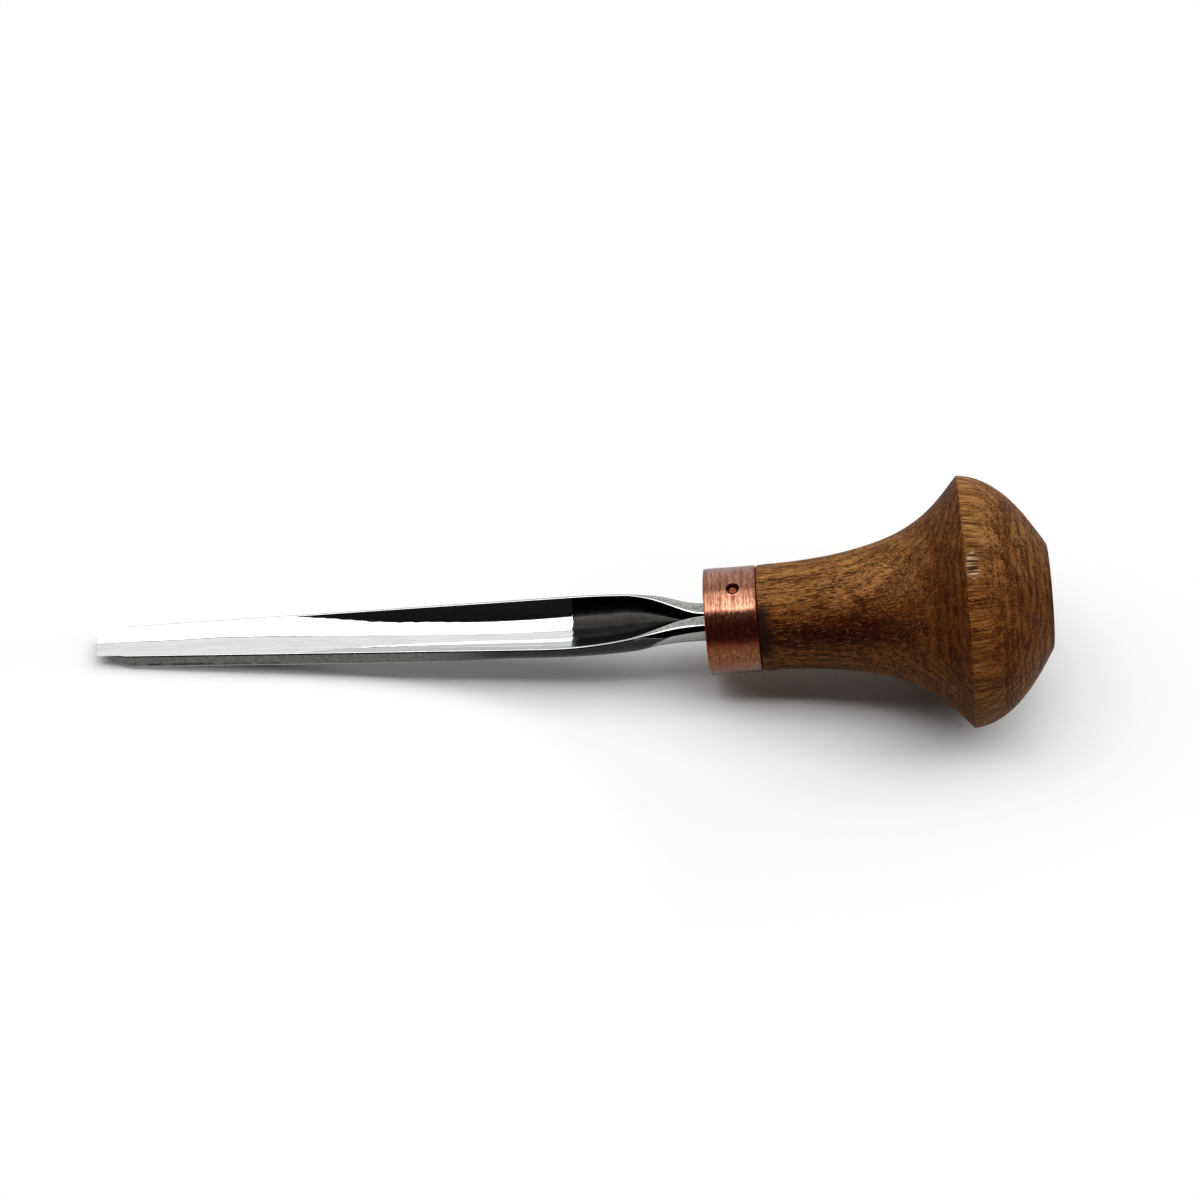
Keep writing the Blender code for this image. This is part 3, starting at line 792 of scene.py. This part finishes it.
# %% [markdown]
# ### Marks on the wood
# No blank is even. A dark streak runs along the front of this one, a stain has crept in beside the
# ferrule, and one spot on the rim is torn, its fibres painted pale as a highlight and its splits
# painted dark as shade. The front of the handle and the lower front of the bell are darkened with
# painted shade. Each is a place on the handle, given in x, y and z or as a turn about its axis.
# Noise added to the distance from that place makes the border of a mark ragged, as it is in wood.

# %% Streak, stain and tear
HEART_Y, HEART_Z, HEART_WANDER = -8.8, 6.2, 10.0
FRONT_TURN, BELOW_SHARE = -0.85, 0.8
STAIN_END, STAIN_WANDER = 9.6, 3.0
TEAR_X, TEAR_TURN, TEAR_SQUEEZE, TEAR_WANDER = 44.7, -0.35, 9.0, 1.6

mottle = place.stretched(0.45, 1.3, 1.3).noise(6.0, 0.75)
from_heart = (y - HEART_Y).hypot(z - HEART_Z) + HEART_WANDER * (mottle - 0.5)
heart = (1 - from_heart.step(1.4, 5.6)) * (1 - x.step(28.0, 42.0))
turn = y.maths("ARCTAN2", y, z)
# painted shade: the front of the handle, and the lower front of the bell, darker as if in shade
front_painted_shade = 1 - abs(turn - FRONT_TURN).step(0.15, 0.85)
below_painted_shade = 0 - turn
below_painted_shade = below_painted_shade.step(0.9, 1.4) * (1 - below_painted_shade.step(2.0, 2.8)) * (1 - x.step(30.0, 38.0))
front_painted_shade = front_painted_shade.larger(BELOW_SHARE * below_painted_shade)

stain_cloud = place.stretched(0.25, 0.16, 0.16).noise(3.0, 0.6)
stain_side = 0.5 * stain_cloud - 0.09 * y + 0.08 * z - 0.42
stain_reach = x - STAIN_WANDER * (mottle - 0.5)
stain = (1 - stain_reach.step(STAIN_END, STAIN_END + 2.6)) * stain_side.step(0.62, 0.86)

splinters = ray_place.stretched(2.0, 1.6, 1.6).noise(1.0, 0.5)
from_tear = (x - TEAR_X).hypot((turn - TEAR_TURN) * TEAR_SQUEEZE)
tear = 1 - (from_tear + TEAR_WANDER * (fleck - 0.5)).step(0.7, 1.2)
# painted highlight and shade on the tear: its torn fibres are painted pale, and its splits dark
torn_glint = tear * splinters.step(0.50, 0.58)
split_and_shade = tear * (1 - splinters.step(0.42, 0.50))
# the flat butt face is darker: end grain, and partly painted shade
butt_face = x.step(57.2, 57.7)
print("marks:", len(wood.node_tree.nodes), "nodes so far")

# %% [markdown]
# ### Colour of the wood
# The colour is built up as a finisher sees it: pale and brown wood by the figure, then shades
# multiplied over it for the lines, the painted shade on the front, the end grain, the streak and
# the butt face, which is partly painted shade, then pores, pale specks with painted glints, and
# stain on top. Oiled wood is nearly matt, so the shader's specular level is low.

# %% Wood finish
PALE_WOOD, BROWN_WOOD = (0.530, 0.250, 0.080, 1), (0.110, 0.034, 0.005, 1)
FUZZ_SHADE, LINE_SHADE = (0.62, 0.55, 0.48, 1), (0.42, 0.32, 0.22, 1)
FRONT_PAINTED_SHADE, HEART_SHADE = (0.66, 0.46, 0.24, 1), (0.23, 0.115, 0.10, 1)
RING_SHADE, END_SHADE = (0.55, 0.42, 0.30, 1), (0.36, 0.25, 0.13, 1)
BUTT_END_GRAIN_AND_SHADE, PORE = (0.58, 0.50, 0.45, 1), (0.024, 0.008, 0.002, 1)
DUST_AND_GLINT, STAIN = (0.38, 0.21, 0.10, 1), (0.020, 0.008, 0.005, 1)
TORN_GLINT = (0.58, 0.43, 0.28, 1)
WOOD_RELIEF = 0.06

base = figure.mix(BROWN_WOOD, PALE_WOOD)
base = ((0.6 - 0.4 * belt) * fuzz).mix(base, FUZZ_SHADE, "MULTIPLY")
base = (0.55 * belt * (1 - lines)).mix(base, LINE_SHADE, "MULTIPLY")
# painted shade on the front of the handle
base = (0.78 * front_painted_shade).mix(base, FRONT_PAINTED_SHADE, "MULTIPLY")
ringed = (early * (0.25 + 0.25 * ends)).mix(base, RING_SHADE, "MULTIPLY")
ended = (ends * (0.72 - 0.34 * on_dome)).mix(ringed, END_SHADE, "MULTIPLY")
hearted = heart.mix(ended, HEART_SHADE, "MULTIPLY")
butted = butt_face.mix(hearted, BUTT_END_GRAIN_AND_SHADE, "MULTIPLY")
porous = ((0.85 - 0.55 * belt) * pores).mix(butted, PORE)
# pale specks, partly dust in the pores and partly painted glints
dusted_and_glinting = (dust_and_glint * (0.45 - 0.2 * ends)).mix(porous, DUST_AND_GLINT)
stained = (stain * 0.95).mix(dusted_and_glinting, STAIN)
set_surface(
    wood,
    fibre * 0.4 + fleck * 0.4 - pores * 0.9 - split_and_shade,
    WOOD_RELIEF,
    Base_Color=(split_and_shade * 0.9).mix(torn_glint.mix(stained, TORN_GLINT), PORE),
    Roughness=0.42 + 0.20 * fleck + 0.15 * pores,
    Specular_IOR_Level=0.03,
)

# %% [markdown]
# ## The handle
# The handle was turned on a lathe, so its outline goes round one axis: a tenon under the ferrule,
# a bell that flares to a rim, a dome and a small flat butt. The bell and the dome are cubics with
# given slopes at their ends. A lathe leaves sharp corners that use rounds off.

# %% Outline of the handle
FERRULE_LENGTH, SEAT_GAP, BELL_LENGTH, DOME_LENGTH = 8.8, 0.3, 34.5, 14.2
NECK_RADIUS, RIM_RADIUS, BUTT_RADIUS, BUTT_HUB = 9.0, 21.3, 8.75, 0.4
TENON_RADIUS, TENON_FRONT, TENON_MIDDLE, JOINT_LINE = 7.7, 0.3, 4.0, 0.12
BORE_RADIUS, BORE_DEPTH, BORE_MIDDLE, BORE_HUB = 5.2, 33.6, 20.0, 0.3
BELL_RIM, DOME_RIM, DOME_BUTT = math.radians(48), math.radians(5), math.radians(57)
NECK_PULL, FLARE_PULL, RIM_PULL, FALL_PULL = 0.74, 0.22, 0.53, 0.31
BELL_COUNT, DOME_COUNT, FLAT_COUNT = 150, 72, 16
SEAT_CORNER, NECK_CORNER = 0.1, 0.25


def corner(before, tip, after, count):
    """A rounded corner: the curve between two points that heads for the corner's tip."""
    share = np.linspace(0, 1, count)[:, None]
    return lerp(lerp(before, tip, share), lerp(tip, after, share), share)


def cubic(start, start_slope, end_slope, end, count):
    """A cubic through two points with given end slopes, as x and radius."""
    share = np.linspace(0, 1, count)[:, None]
    return bezier(start, start + start_slope, end - end_slope, end, share)


def slope(angle, length):
    """A step of a given length: its cosine along x, and its sine outwards."""
    return np.array([math.cos(angle), math.sin(angle)]) * length


bell_x = FERRULE_LENGTH + SEAT_GAP
neck_x = FERRULE_LENGTH + JOINT_LINE
neck = np.array([neck_x, NECK_RADIUS])
rim = np.array([bell_x + BELL_LENGTH, RIM_RADIUS])
heel = np.array([HANDLE_END, BUTT_RADIUS])
start, flare = slope(0, NECK_PULL * BELL_LENGTH), slope(BELL_RIM, FLARE_PULL * BELL_LENGTH)
bell_curve = cubic(neck, start, flare, rim, BELL_COUNT)
turn_in = slope(-DOME_RIM, RIM_PULL * DOME_LENGTH)
fall = slope(-DOME_BUTT, FALL_PULL * DOME_LENGTH)
dome_curve = cubic(rim, turn_in, fall, heel, DOME_COUNT)
flat_r = np.linspace(BUTT_RADIUS, BUTT_HUB, FLAT_COUNT)
flat = np.stack((np.full(FLAT_COUNT, HANDLE_END), flat_r), axis=-1)
inside = np.array([
    (BORE_DEPTH, BORE_HUB), (BORE_DEPTH, BORE_RADIUS), (BORE_MIDDLE, BORE_RADIUS),
    (TENON_FRONT, BORE_RADIUS), (TENON_FRONT, TENON_RADIUS), (TENON_MIDDLE, TENON_RADIUS),
    (neck_x - SEAT_CORNER, TENON_RADIUS), (neck_x, TENON_RADIUS + SEAT_CORNER),
    (neck_x, NECK_RADIUS - NECK_CORNER),
])
outline = np.concatenate((
    inside,
    corner(inside[-1], neck, bell_curve[2], 4)[1:],
    bell_curve[3:-2],
    corner(bell_curve[-2], rim, dome_curve[1], 5),
    dome_curve[2:-3],
    corner(dome_curve[-3], heel, flat[1], 6),
    flat[2:],
))
print("outline:", len(outline), "points to x =", outline[:, 0].max())

# %% [markdown]
# ### Turning it
# The outline is carried round the axis. A Screw modifier could do that, but here each point can
# also be nudged: sanding by hand leaves slow waves that no lathe would, and the rim is worn in
# places. Each ring also keeps how steeply the outline cuts the grain, which tells the finish
# where end grain shows.

# %% Handle
ROUNDS, BARE_RINGS = 300, 5
SANDING, TOP_WAVE, SIDE_WAVE = 0.025, 17, 13
RIM_WEAR, WEAR_REACH, WEAR_START, WEAR_WAVE = 0.10, 1.2, 0.1, 11

spin = np.linspace(0, math.tau, ROUNDS, endpoint=False)[None, :]
turned_x = outline[:, :1] + 0 * spin
turned_r = outline[:, 1:] + 0 * spin
past_joint = (np.arange(len(outline)) >= len(inside) + BARE_RINGS)[:, None]
shown = past_joint * np.clip(turned_r / NECK_RADIUS, 0, 1)
sanding = waviness(turned_x, turned_r * np.sin(spin), TOP_WAVE, seed=5)
sanding = sanding + waviness(turned_x, turned_r * np.cos(spin), SIDE_WAVE, seed=6)
wear = ease(1 - np.abs(turned_x - rim[0]) / WEAR_REACH)
wear = wear * ease(waviness(spin * RIM_RADIUS, 0 * spin, WEAR_WAVE, seed=8) - WEAR_START)
turned_r = turned_r + shown * (SANDING * sanding - RIM_WEAR * wear)
handle_grid = np.stack((turned_x, turned_r * np.cos(spin), turned_r * np.sin(spin)), axis=-1)
points, triangles = close_ends(handle_grid, (BORE_DEPTH, 0, 0), (HANDLE_END, 0, 0))
run, rise = np.gradient(outline, axis=0).T
end_grain = np.abs(rise) / np.hypot(run, rise)
add_piece(
    "handle_detail",
    "handle",
    wood,
    points,
    grid_quads(len(outline), ROUNDS),
    triangles,
    {"end_grain": np.append(np.repeat(end_grain, ROUNDS), (1, 1))},
)

# %% [markdown]
# ## Copper
# The ferrule is a slice of copper tube, brushed round and round and a little tarnished. Noise
# that is squeezed along the tube's axis and left long across it gives the brush marks without a
# seam. Handling darkens the metal in clouds and leaves small pits. Below its top it is darkened
# with painted shade, most on its upper sides, and lower down it has been rubbed pale again in
# patches.

# %% Wear of the copper
PIN_X = 5.0

copper, place = new_finish("brushed_copper")
x, y, z = place.axes()
brush = place.stretched(6.0, 0.35, 0.35).noise(6.0, 0.8)
coarse = place.stretched(1.9, 0.12, 0.12).noise(3.0, 0.6)
scuff = place.stretched(3.5, 1.3, 1.3).noise(5.0, 0.75)
clouds = place.stretched(0.35, 0.3, 0.3).noise(4.0, 0.65)
worn = place.stretched(2.4, 0.8, 0.8).noise(6.0, 0.8)
specks = place.stretched(3.2, 3.2, 3.2).noise(3.0, 0.6).step(0.62, 0.72)
rim_dirt = 1 - x.step(0.1, 0.8) * (1 - x.step(8.0, 8.75))
# darker in and round the drilled hole
hole = (1 - (x - PIN_X).hypot(y).step(0.95, 1.25)) * z.step(5.0, 6.0)
# painted shade: below its top the copper is darkened, most on its upper sides
lower_painted_shade = (1 - z.step(6.2, 8.6)) * (0.68 + 0.32 * z.step(2.0, 5.0))
grime_and_shade = clouds * 0.8 + scuff * 0.6 + brush * 0.5 + specks * 0.5
grime_and_shade = grime_and_shade + rim_dirt * 0.35 + lower_painted_shade * 0.7 - 0.6
tarnish_and_shade = grime_and_shade.step(0.25, 1.0)
rubbed = (worn * 0.8 + brush * 0.4).step(0.57, 0.64) * (1 - z.step(2.2, 4.8))
print("wear:", len(copper.node_tree.nodes), "nodes so far")

# %% [markdown]
# ### Colour of the copper
# Bright and dull copper alternate with the brush marks, tarnish and painted shade lie over both,
# and the drilled hole is darker. A thin coat stands for the film of oil that gives the top its
# sheen.

# %% Copper finish
BRIGHT_COPPER, DULL_COPPER = (0.430, 0.195, 0.108, 1), (0.120, 0.030, 0.010, 1)
TARNISH_AND_SHADE, HOLE_DARK = (0.125, 0.014, 0.003, 1), (0.050, 0.009, 0.005, 1)
RUBBED_COPPER = (0.250, 0.118, 0.042, 1)
COPPER_RELIEF = 0.04

marks = (brush * 0.8 + coarse * 0.4 + scuff * 0.4 - 0.3).step(0.39, 0.61)
# tarnish and painted shade over the brush marks
dulled = (tarnish_and_shade * 0.88).mix(marks.mix(DULL_COPPER, BRIGHT_COPPER), TARNISH_AND_SHADE)
dulled = (rubbed * 0.8).mix(dulled, RUBBED_COPPER)
set_surface(
    copper,
    brush * 0.6 + coarse * 0.4 + scuff * 0.5 - specks * 0.6,
    COPPER_RELIEF,
    Base_Color=(hole * 0.9).mix(dulled, HOLE_DARK),
    Roughness=0.06 + 0.08 * brush + 0.15 * tarnish_and_shade + 0.2 * hole,
    Metallic=0.84,
    Coat_Weight=0.45 * (1 - lower_painted_shade) * (1 - tarnish_and_shade),
    Coat_Roughness=0.12,
)

# %% [markdown]
# ## The ferrule
# A ring is a closed profile carried round the axis. On top it is drilled for the pin. A Boolean
# could cut that hole, but here the grid is simply made finer round it and the points inside the
# hole are pushed down, which keeps one clean surface. The cut ends are not perfectly square.

# %% Profile of the ferrule
OUTSIDE, INSIDE, EDGE_ROUND = 9.0, 8.0, 0.22
FINE_COUNT, FINE_SPAN, BEHIND_COUNT, AHEAD_COUNT, EDGE_COUNT = 70, 1.5, 20, 26, 6

edge_x = FERRULE_LENGTH - EDGE_ROUND
edge_r = OUTSIDE - EDGE_ROUND
front_edge = np.array([(EDGE_ROUND, OUTSIDE), (0, OUTSIDE), (0, edge_r)])
back_edge = np.array([(FERRULE_LENGTH, edge_r), (FERRULE_LENGTH, OUTSIDE), (edge_x, OUTSIDE)])
shell_x = np.concatenate((
    np.linspace(edge_x, PIN_X + FINE_SPAN, BEHIND_COUNT)[1:],
    np.linspace(PIN_X + FINE_SPAN, PIN_X - FINE_SPAN, FINE_COUNT)[1:],
    np.linspace(PIN_X - FINE_SPAN, EDGE_ROUND, AHEAD_COUNT)[1:-1],
))
shell = np.stack((shell_x, np.full(len(shell_x), OUTSIDE)), axis=-1)
bore_x = np.linspace(0, FERRULE_LENGTH, EDGE_COUNT)
bore = np.stack((bore_x, np.full(EDGE_COUNT, INSIDE)), axis=-1)
front_round, back_round = corner(*front_edge, EDGE_COUNT), corner(*back_edge, EDGE_COUNT)
profile = np.concatenate((shell, front_round, bore, back_round))
print("ferrule profile:", len(profile), "points")

# %% [markdown]
# ### Drilling it
# How far each point lies from the pin decides what happens to it: inside the hole it goes down,
# and just outside it the drill raised a low burr. Points on the far side of the ring are counted
# as far away, so that only one hole is made.

# %% Ferrule
HOLE_RADIUS, HOLE_DEPTH, HOLE_EDGE = 1.0, 0.95, 0.10
BURR_HEIGHT, BURR_AT, BURR_WIDTH = 0.05, 0.22, 0.14
DENTS, DENT_WAVE, END_WANDER, END_WAVE = 0.012, 6, 0.05, 8
FAR_AWAY, COARSE_COUNT = 100, 170

fine_turn = FINE_SPAN / OUTSIDE
spin = np.concatenate((
    np.linspace(-fine_turn, fine_turn, FINE_COUNT),
    np.linspace(fine_turn, math.tau - fine_turn, COARSE_COUNT)[1:-1],
))[None, :]
ring_x = profile[:, :1] + 0 * spin
ring_r = profile[:, 1:] + 0 * spin
from_pin = np.hypot(ring_x - PIN_X, OUTSIDE * np.sin(spin) + FAR_AWAY * (np.cos(spin) < 0))
outside = ring_r > OUTSIDE - 0.01
burr = np.exp(-((from_pin - HOLE_RADIUS - BURR_AT) / BURR_WIDTH) ** 2)
ring_r = ring_r - outside * HOLE_DEPTH * ease((HOLE_RADIUS + HOLE_EDGE - from_pin) / HOLE_EDGE)
ring_r = ring_r + outside * BURR_HEIGHT * burr
ring_r = ring_r + outside * DENTS * waviness(ring_x, spin * OUTSIDE, DENT_WAVE, seed=12)
to_end = np.cos(math.pi * ring_x / FERRULE_LENGTH)
end_wander = waviness(spin * OUTSIDE, to_end * 3, END_WAVE, seed=14)
ring_x = ring_x + END_WANDER * np.abs(to_end) * end_wander
ferrule_grid = np.stack((ring_x, ring_r * np.sin(spin), ring_r * np.cos(spin)), axis=-1)
add_piece(
    "ferrule_detail",
    "ferrule",
    copper,
    ferrule_grid.reshape(-1, 3),
    grid_quads(*ring_x.shape, closed_along=True),
)

# %% [markdown]
# ## The pin
# A copper pin stops the ferrule from turning. Its head was set with a punch, so it sits just
# below the surface with a dent in it. It is turned like the handle, about its own upright axis.

# %% Pin finish
PIN_DARK, PIN_PALE = (0.06, 0.012, 0.006, 1), (0.30, 0.075, 0.038, 1)
PIN_RELIEF = 0.03

pin_metal, place = new_finish("punched_pin_copper")
spots = place.stretched(4.0, 4.0, 4.0).noise(3.0, 0.6)
set_surface(
    pin_metal,
    spots,
    PIN_RELIEF,
    Base_Color=spots.step(0.3, 0.7).mix(PIN_DARK, PIN_PALE),
    Roughness=0.12 + 0.22 * spots,
    Metallic=1.0,
)

# %% [markdown]
# ### Shape of the pin
# The profile is a straight stem and a quarter of an ellipse for the head. The punch's dent is a
# bell curve taken off the head's height, deepest in the middle.

# %% Pin
PIN_RADIUS, PIN_FOOT, PIN_HEAD = 0.74, 6.3, 8.72
HEAD_HEIGHT, STEM_TOP, PUNCH, PUNCH_RADIUS = 0.35, 0.4, 0.16, 0.35
PIN_SIDES, HEAD_COUNT, STEM_COUNT = 40, 14, 6

quarter = np.linspace(0, 1, HEAD_COUNT)[::-1] * math.pi / 2
head_r = PIN_RADIUS * np.sin(quarter)
dent = PUNCH * np.exp(-(head_r / PUNCH_RADIUS) ** 2)
head_z = PIN_HEAD + HEAD_HEIGHT * (np.cos(quarter) - 1) - dent
head = np.stack((head_r, head_z), axis=-1)[:-1]
stem_z = np.linspace(PIN_FOOT, PIN_HEAD - STEM_TOP, STEM_COUNT)
stem = np.stack((np.full(STEM_COUNT, PIN_RADIUS), stem_z), axis=-1)
pin_profile = np.concatenate((stem, head))
spin = np.linspace(0, math.tau, PIN_SIDES, endpoint=False)[None, :]
pin_r = pin_profile[:, :1] + 0 * spin
pin_z = pin_profile[:, 1:] + 0 * spin
pin_grid = np.stack((PIN_X + pin_r * np.cos(spin), pin_r * np.sin(spin), pin_z), axis=-1)
points, triangles = close_ends(pin_grid, (PIN_X, 0, PIN_FOOT), (PIN_X, 0, PIN_HEAD - PUNCH))
add_piece(
    "pin_detail",
    "ferrule_pin",
    pin_metal,
    points,
    grid_quads(len(pin_profile), PIN_SIDES),
    triangles,
)

# %% [markdown]
# ## The bedding
# The resin round the tang only shows as a dark ring in the ferrule's mouth. Its solid already has
# the right shape, so it stays and takes a better finish: amber, cloudy and dusted with filings.

# %% Resin finish
RESIN_DARK, RESIN_AMBER = (0.022, 0.012, 0.006, 1), (0.085, 0.048, 0.022, 1)
RESIN_RELIEF = 0.08

resin, place = new_finish("cured_bedding_resin")
dust = place.stretched(2.5, 2.5, 2.5).noise(4.0, 0.65)
bubbles = place.stretched(1.2, 1.2, 1.2).noise(2.0).step(0.62, 0.70)
set_surface(
    resin,
    dust * 0.5 - bubbles,
    RESIN_RELIEF,
    Base_Color=dust.step(0.3, 0.7).mix(RESIN_DARK, RESIN_AMBER),
    Roughness=0.35 + 0.3 * dust,
    Specular_IOR_Level=0.15,
)
bed = frame["nodes"]["tang_resin"]
for slot in bed.material_slots:
    slot.material = resin
print("resin on", bed.name)

# %% [markdown]
# ## Studio
# The tool lies on a white floor under broad, soft light from above and slightly behind. In front
# it is dark, which is why the far wall of the flute mirrors black. The background is made white
# for camera rays, and for what metal shows of it, and not by more light on the tool.

# %% Studio helpers
def stage_mesh(name, points, faces):
    """A mesh that belongs to the studio, not to the tool."""
    mesh = bpy.data.meshes.new(name)
    mesh.from_pydata(points, [], faces)
    made = bpy.data.objects.new(name, mesh)
    bpy.context.collection.objects.link(made)
    return made


def seen_directly(field):
    """1 for rays from the camera, and for what metal and glass show of the background."""
    path = field.node("ShaderNodeLightPath").socket.node
    camera_ray, glossy, clear = (
        Field(field.tree, path.outputs[name])
        for name in ("Is Camera Ray", "Is Glossy Ray", "Is Transmission Ray")
    )
    return camera_ray.larger(glossy.larger(clear))


ground_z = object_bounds()[0][2]
print("ground at z = %.5f" % ground_z)

# %% [markdown]
# ### The floor
# Close to the tool the floor is a matt white that takes its shadow. Further out it fades to plain
# white, so that no horizon shows. Beside the blade the fade starts closer, which trims the blade's
# shadow with painted light, and a tenth of white is mixed into the shadow below its middle as
# painted light.

# %% Floor
FLOOR_HALF, CORNERS = 3.0, ((-1, -1), (1, -1), (1, 1), (-1, 1))
FLOOR_WHITE, FLOOR_BOUNCE = (0.99, 0.99, 0.99, 1), (0.44, 0.44, 0.44, 1)
CLEAR_FROM, CLEAR_TO, BLADE_CLEAR = 0.028, 0.060, 0.011
LENGTHWISE, BLADE_LENGTHWISE, NARROWING = 0.45, 0.25, 8.0
BLADE_FAR, BLADE_NEAR = -0.052, 0.020
UNDER_LIGHT, UNDER_RISE, UNDER_FALL = 0.10, (-0.055, -0.035), (0.010, 0.024)

floor_points = [(FLOOR_HALF * a, FLOOR_HALF * b, ground_z) for a, b in CORNERS]
floor = stage_mesh("floor", floor_points, [(0, 1, 2, 3)])
table = bpy.data.materials.new("white_table_with_painted_light")
table.use_nodes = True
tree = table.node_tree
spot = Field(tree).node("ShaderNodeTexCoord", {}, {}, "Object")
x, y = spot.axes()[:2]
# beside the blade the fade to white starts closer, which trims its shadow with painted light
by_blade = 1 - x.step(BLADE_FAR, BLADE_NEAR)
along_tool = (LENGTHWISE - BLADE_LENGTHWISE * by_blade) * x
away = along_tool.hypot(y * (1 + NARROWING * by_blade))
# painted light: a tenth of white mixed into the shadow below the blade's middle
painted_light_under_blade = UNDER_LIGHT * x.step(*UNDER_RISE) * (1 - x.step(*UNDER_FALL))
direct = seen_directly(spot)
plain = away.step(CLEAR_FROM - BLADE_CLEAR * by_blade, CLEAR_TO)
plain = plain.larger(painted_light_under_blade) * direct
shader = tree.nodes["Principled BSDF"]
tree.links.new(direct.mix(FLOOR_BOUNCE, FLOOR_WHITE).socket, shader.inputs["Base Color"])
shader.inputs["Roughness"].default_value = 0.9
shader.inputs["Specular IOR Level"].default_value = 0.1
matt = Field(tree, shader.outputs[0])
white = spot.node("ShaderNodeEmission", {}, {"Color": (1, 1, 1, 1), "Strength": 1.0})
both = spot.node("ShaderNodeMixShader", {}, {0: plain, 1: matt, 2: white})
tree.links.new(both.socket, tree.nodes["Material Output"].inputs["Surface"])
floor.data.materials.append(table)
print("floor fades from", CLEAR_FROM, "to", CLEAR_TO, "m")

# %% [markdown]
# ### Lamps
# One large softbox hangs over the tool and behind it. A second one, straight above, adds light on
# the tool's upper side, and a small bright core near the front edge draws the ferrule's highlight.
# A lamp's power is worked out from how bright its face should look in a reflection.

# %% Lamps
LAMP_HEIGHT, LAMP_BACK, LAMP_FRONT, LAMP_LENGTH, LAMP_RADIANCE = 0.70, 0.42, -0.17, 2.6, 1.68
TOP_LENGTH, TOP_DEPTH, TOP_RADIANCE, TOP_DROP = 1.4, 0.26, 1.25, 0.005
CORE_LENGTH, CORE_DEPTH, CORE_RADIANCE, CORE_DROP = 0.45, 0.08, 3.6, 0.01
CORE_LEFT, CORE_BACK = -0.10, -0.125


def softbox(name, centre, length, depth, radiance):
    """A flat lamp that looks down; its power is pi times its face's radiance and area."""
    lamp = bpy.data.lights.new(name, "AREA")
    lamp.shape = "RECTANGLE"
    lamp.size = length
    lamp.size_y = depth
    lamp.energy = radiance * math.pi * length * depth
    made = bpy.data.objects.new(name, lamp)
    made.location = centre
    made.visible_camera = False
    bpy.context.collection.objects.link(made)
    print(name, "of %.2f W" % lamp.energy)


middle_y, depth_y = (LAMP_BACK + LAMP_FRONT) / 2, LAMP_BACK - LAMP_FRONT
softbox("overhead_softbox", (0.0, middle_y, LAMP_HEIGHT), LAMP_LENGTH, depth_y, LAMP_RADIANCE)
core = (CORE_LEFT, CORE_BACK, LAMP_HEIGHT - CORE_DROP)
softbox("bright_core", core, CORE_LENGTH, CORE_DEPTH, CORE_RADIANCE)
over_tool = (0.0, LAMP_FRONT + TOP_DEPTH / 2, LAMP_HEIGHT - TOP_DROP)
softbox("top_softbox", over_tool, TOP_LENGTH, TOP_DEPTH, TOP_RADIANCE)

# %% [markdown]
# ### Dark cards and the world
# Polished steel looks like steel because of what is dark around it. A black card curves round the
# front, and a narrow one lies along the back edge of the softbox. The camera itself can't see
# them. The world adds a weak even light, and is white where it is seen directly.

# %% Dark cards and world
CARD_RADIUS, CARD_LOW, CARD_HIGH, CARD_HALF = 0.76, math.radians(179), math.radians(106), 1.1
CARD_BLACK, EDGE_WIDTH, AMBIENT, CARD_COUNT = (0.004, 0.004, 0.005, 1), 0.022, 0.21, 24

card = bpy.data.materials.new("black_card")
card.use_nodes = True
card.node_tree.nodes["Principled BSDF"].inputs["Base Color"].default_value = CARD_BLACK
card.node_tree.nodes["Principled BSDF"].inputs["Roughness"].default_value = 1.0


def dark_strip(name, line, half_length):
    """A black sheet, long in x, along a line of y and z."""
    left, right = line - (half_length, 0, 0), line + (half_length, 0, 0)
    step = np.arange(len(line) - 1)
    faces = np.stack((step, step + 1, step + 1 + len(line), step + len(line)), axis=-1)
    made = stage_mesh(name, np.concatenate((left, right)).tolist(), faces.tolist())
    made.data.materials.append(card)
    made.visible_camera = False


bow = np.linspace(CARD_LOW, CARD_HIGH, CARD_COUNT)
card_line = np.stack((0 * bow, np.cos(bow), np.sin(bow)), axis=-1) * CARD_RADIUS
dark_strip("dark_card", card_line, CARD_HALF)
lamp_edge = np.array([(0, LAMP_BACK, LAMP_HEIGHT), (0, LAMP_BACK + EDGE_WIDTH, LAMP_HEIGHT)])
dark_strip("lamp_edge", lamp_edge, LAMP_LENGTH / 2)

world = bpy.data.worlds.new("studio")
bpy.context.scene.world = world
world.use_nodes = True
sky = world.node_tree
strength = seen_directly(Field(sky)) * (1 - AMBIENT) + AMBIENT
sky.links.new(strength.socket, sky.nodes["Background"].inputs["Strength"])
sky.nodes["Background"].inputs["Color"].default_value = (1, 1, 1, 1)
print("studio lit")

# %% [markdown] ## The end
# The dressed tool has to keep the size of its solids.
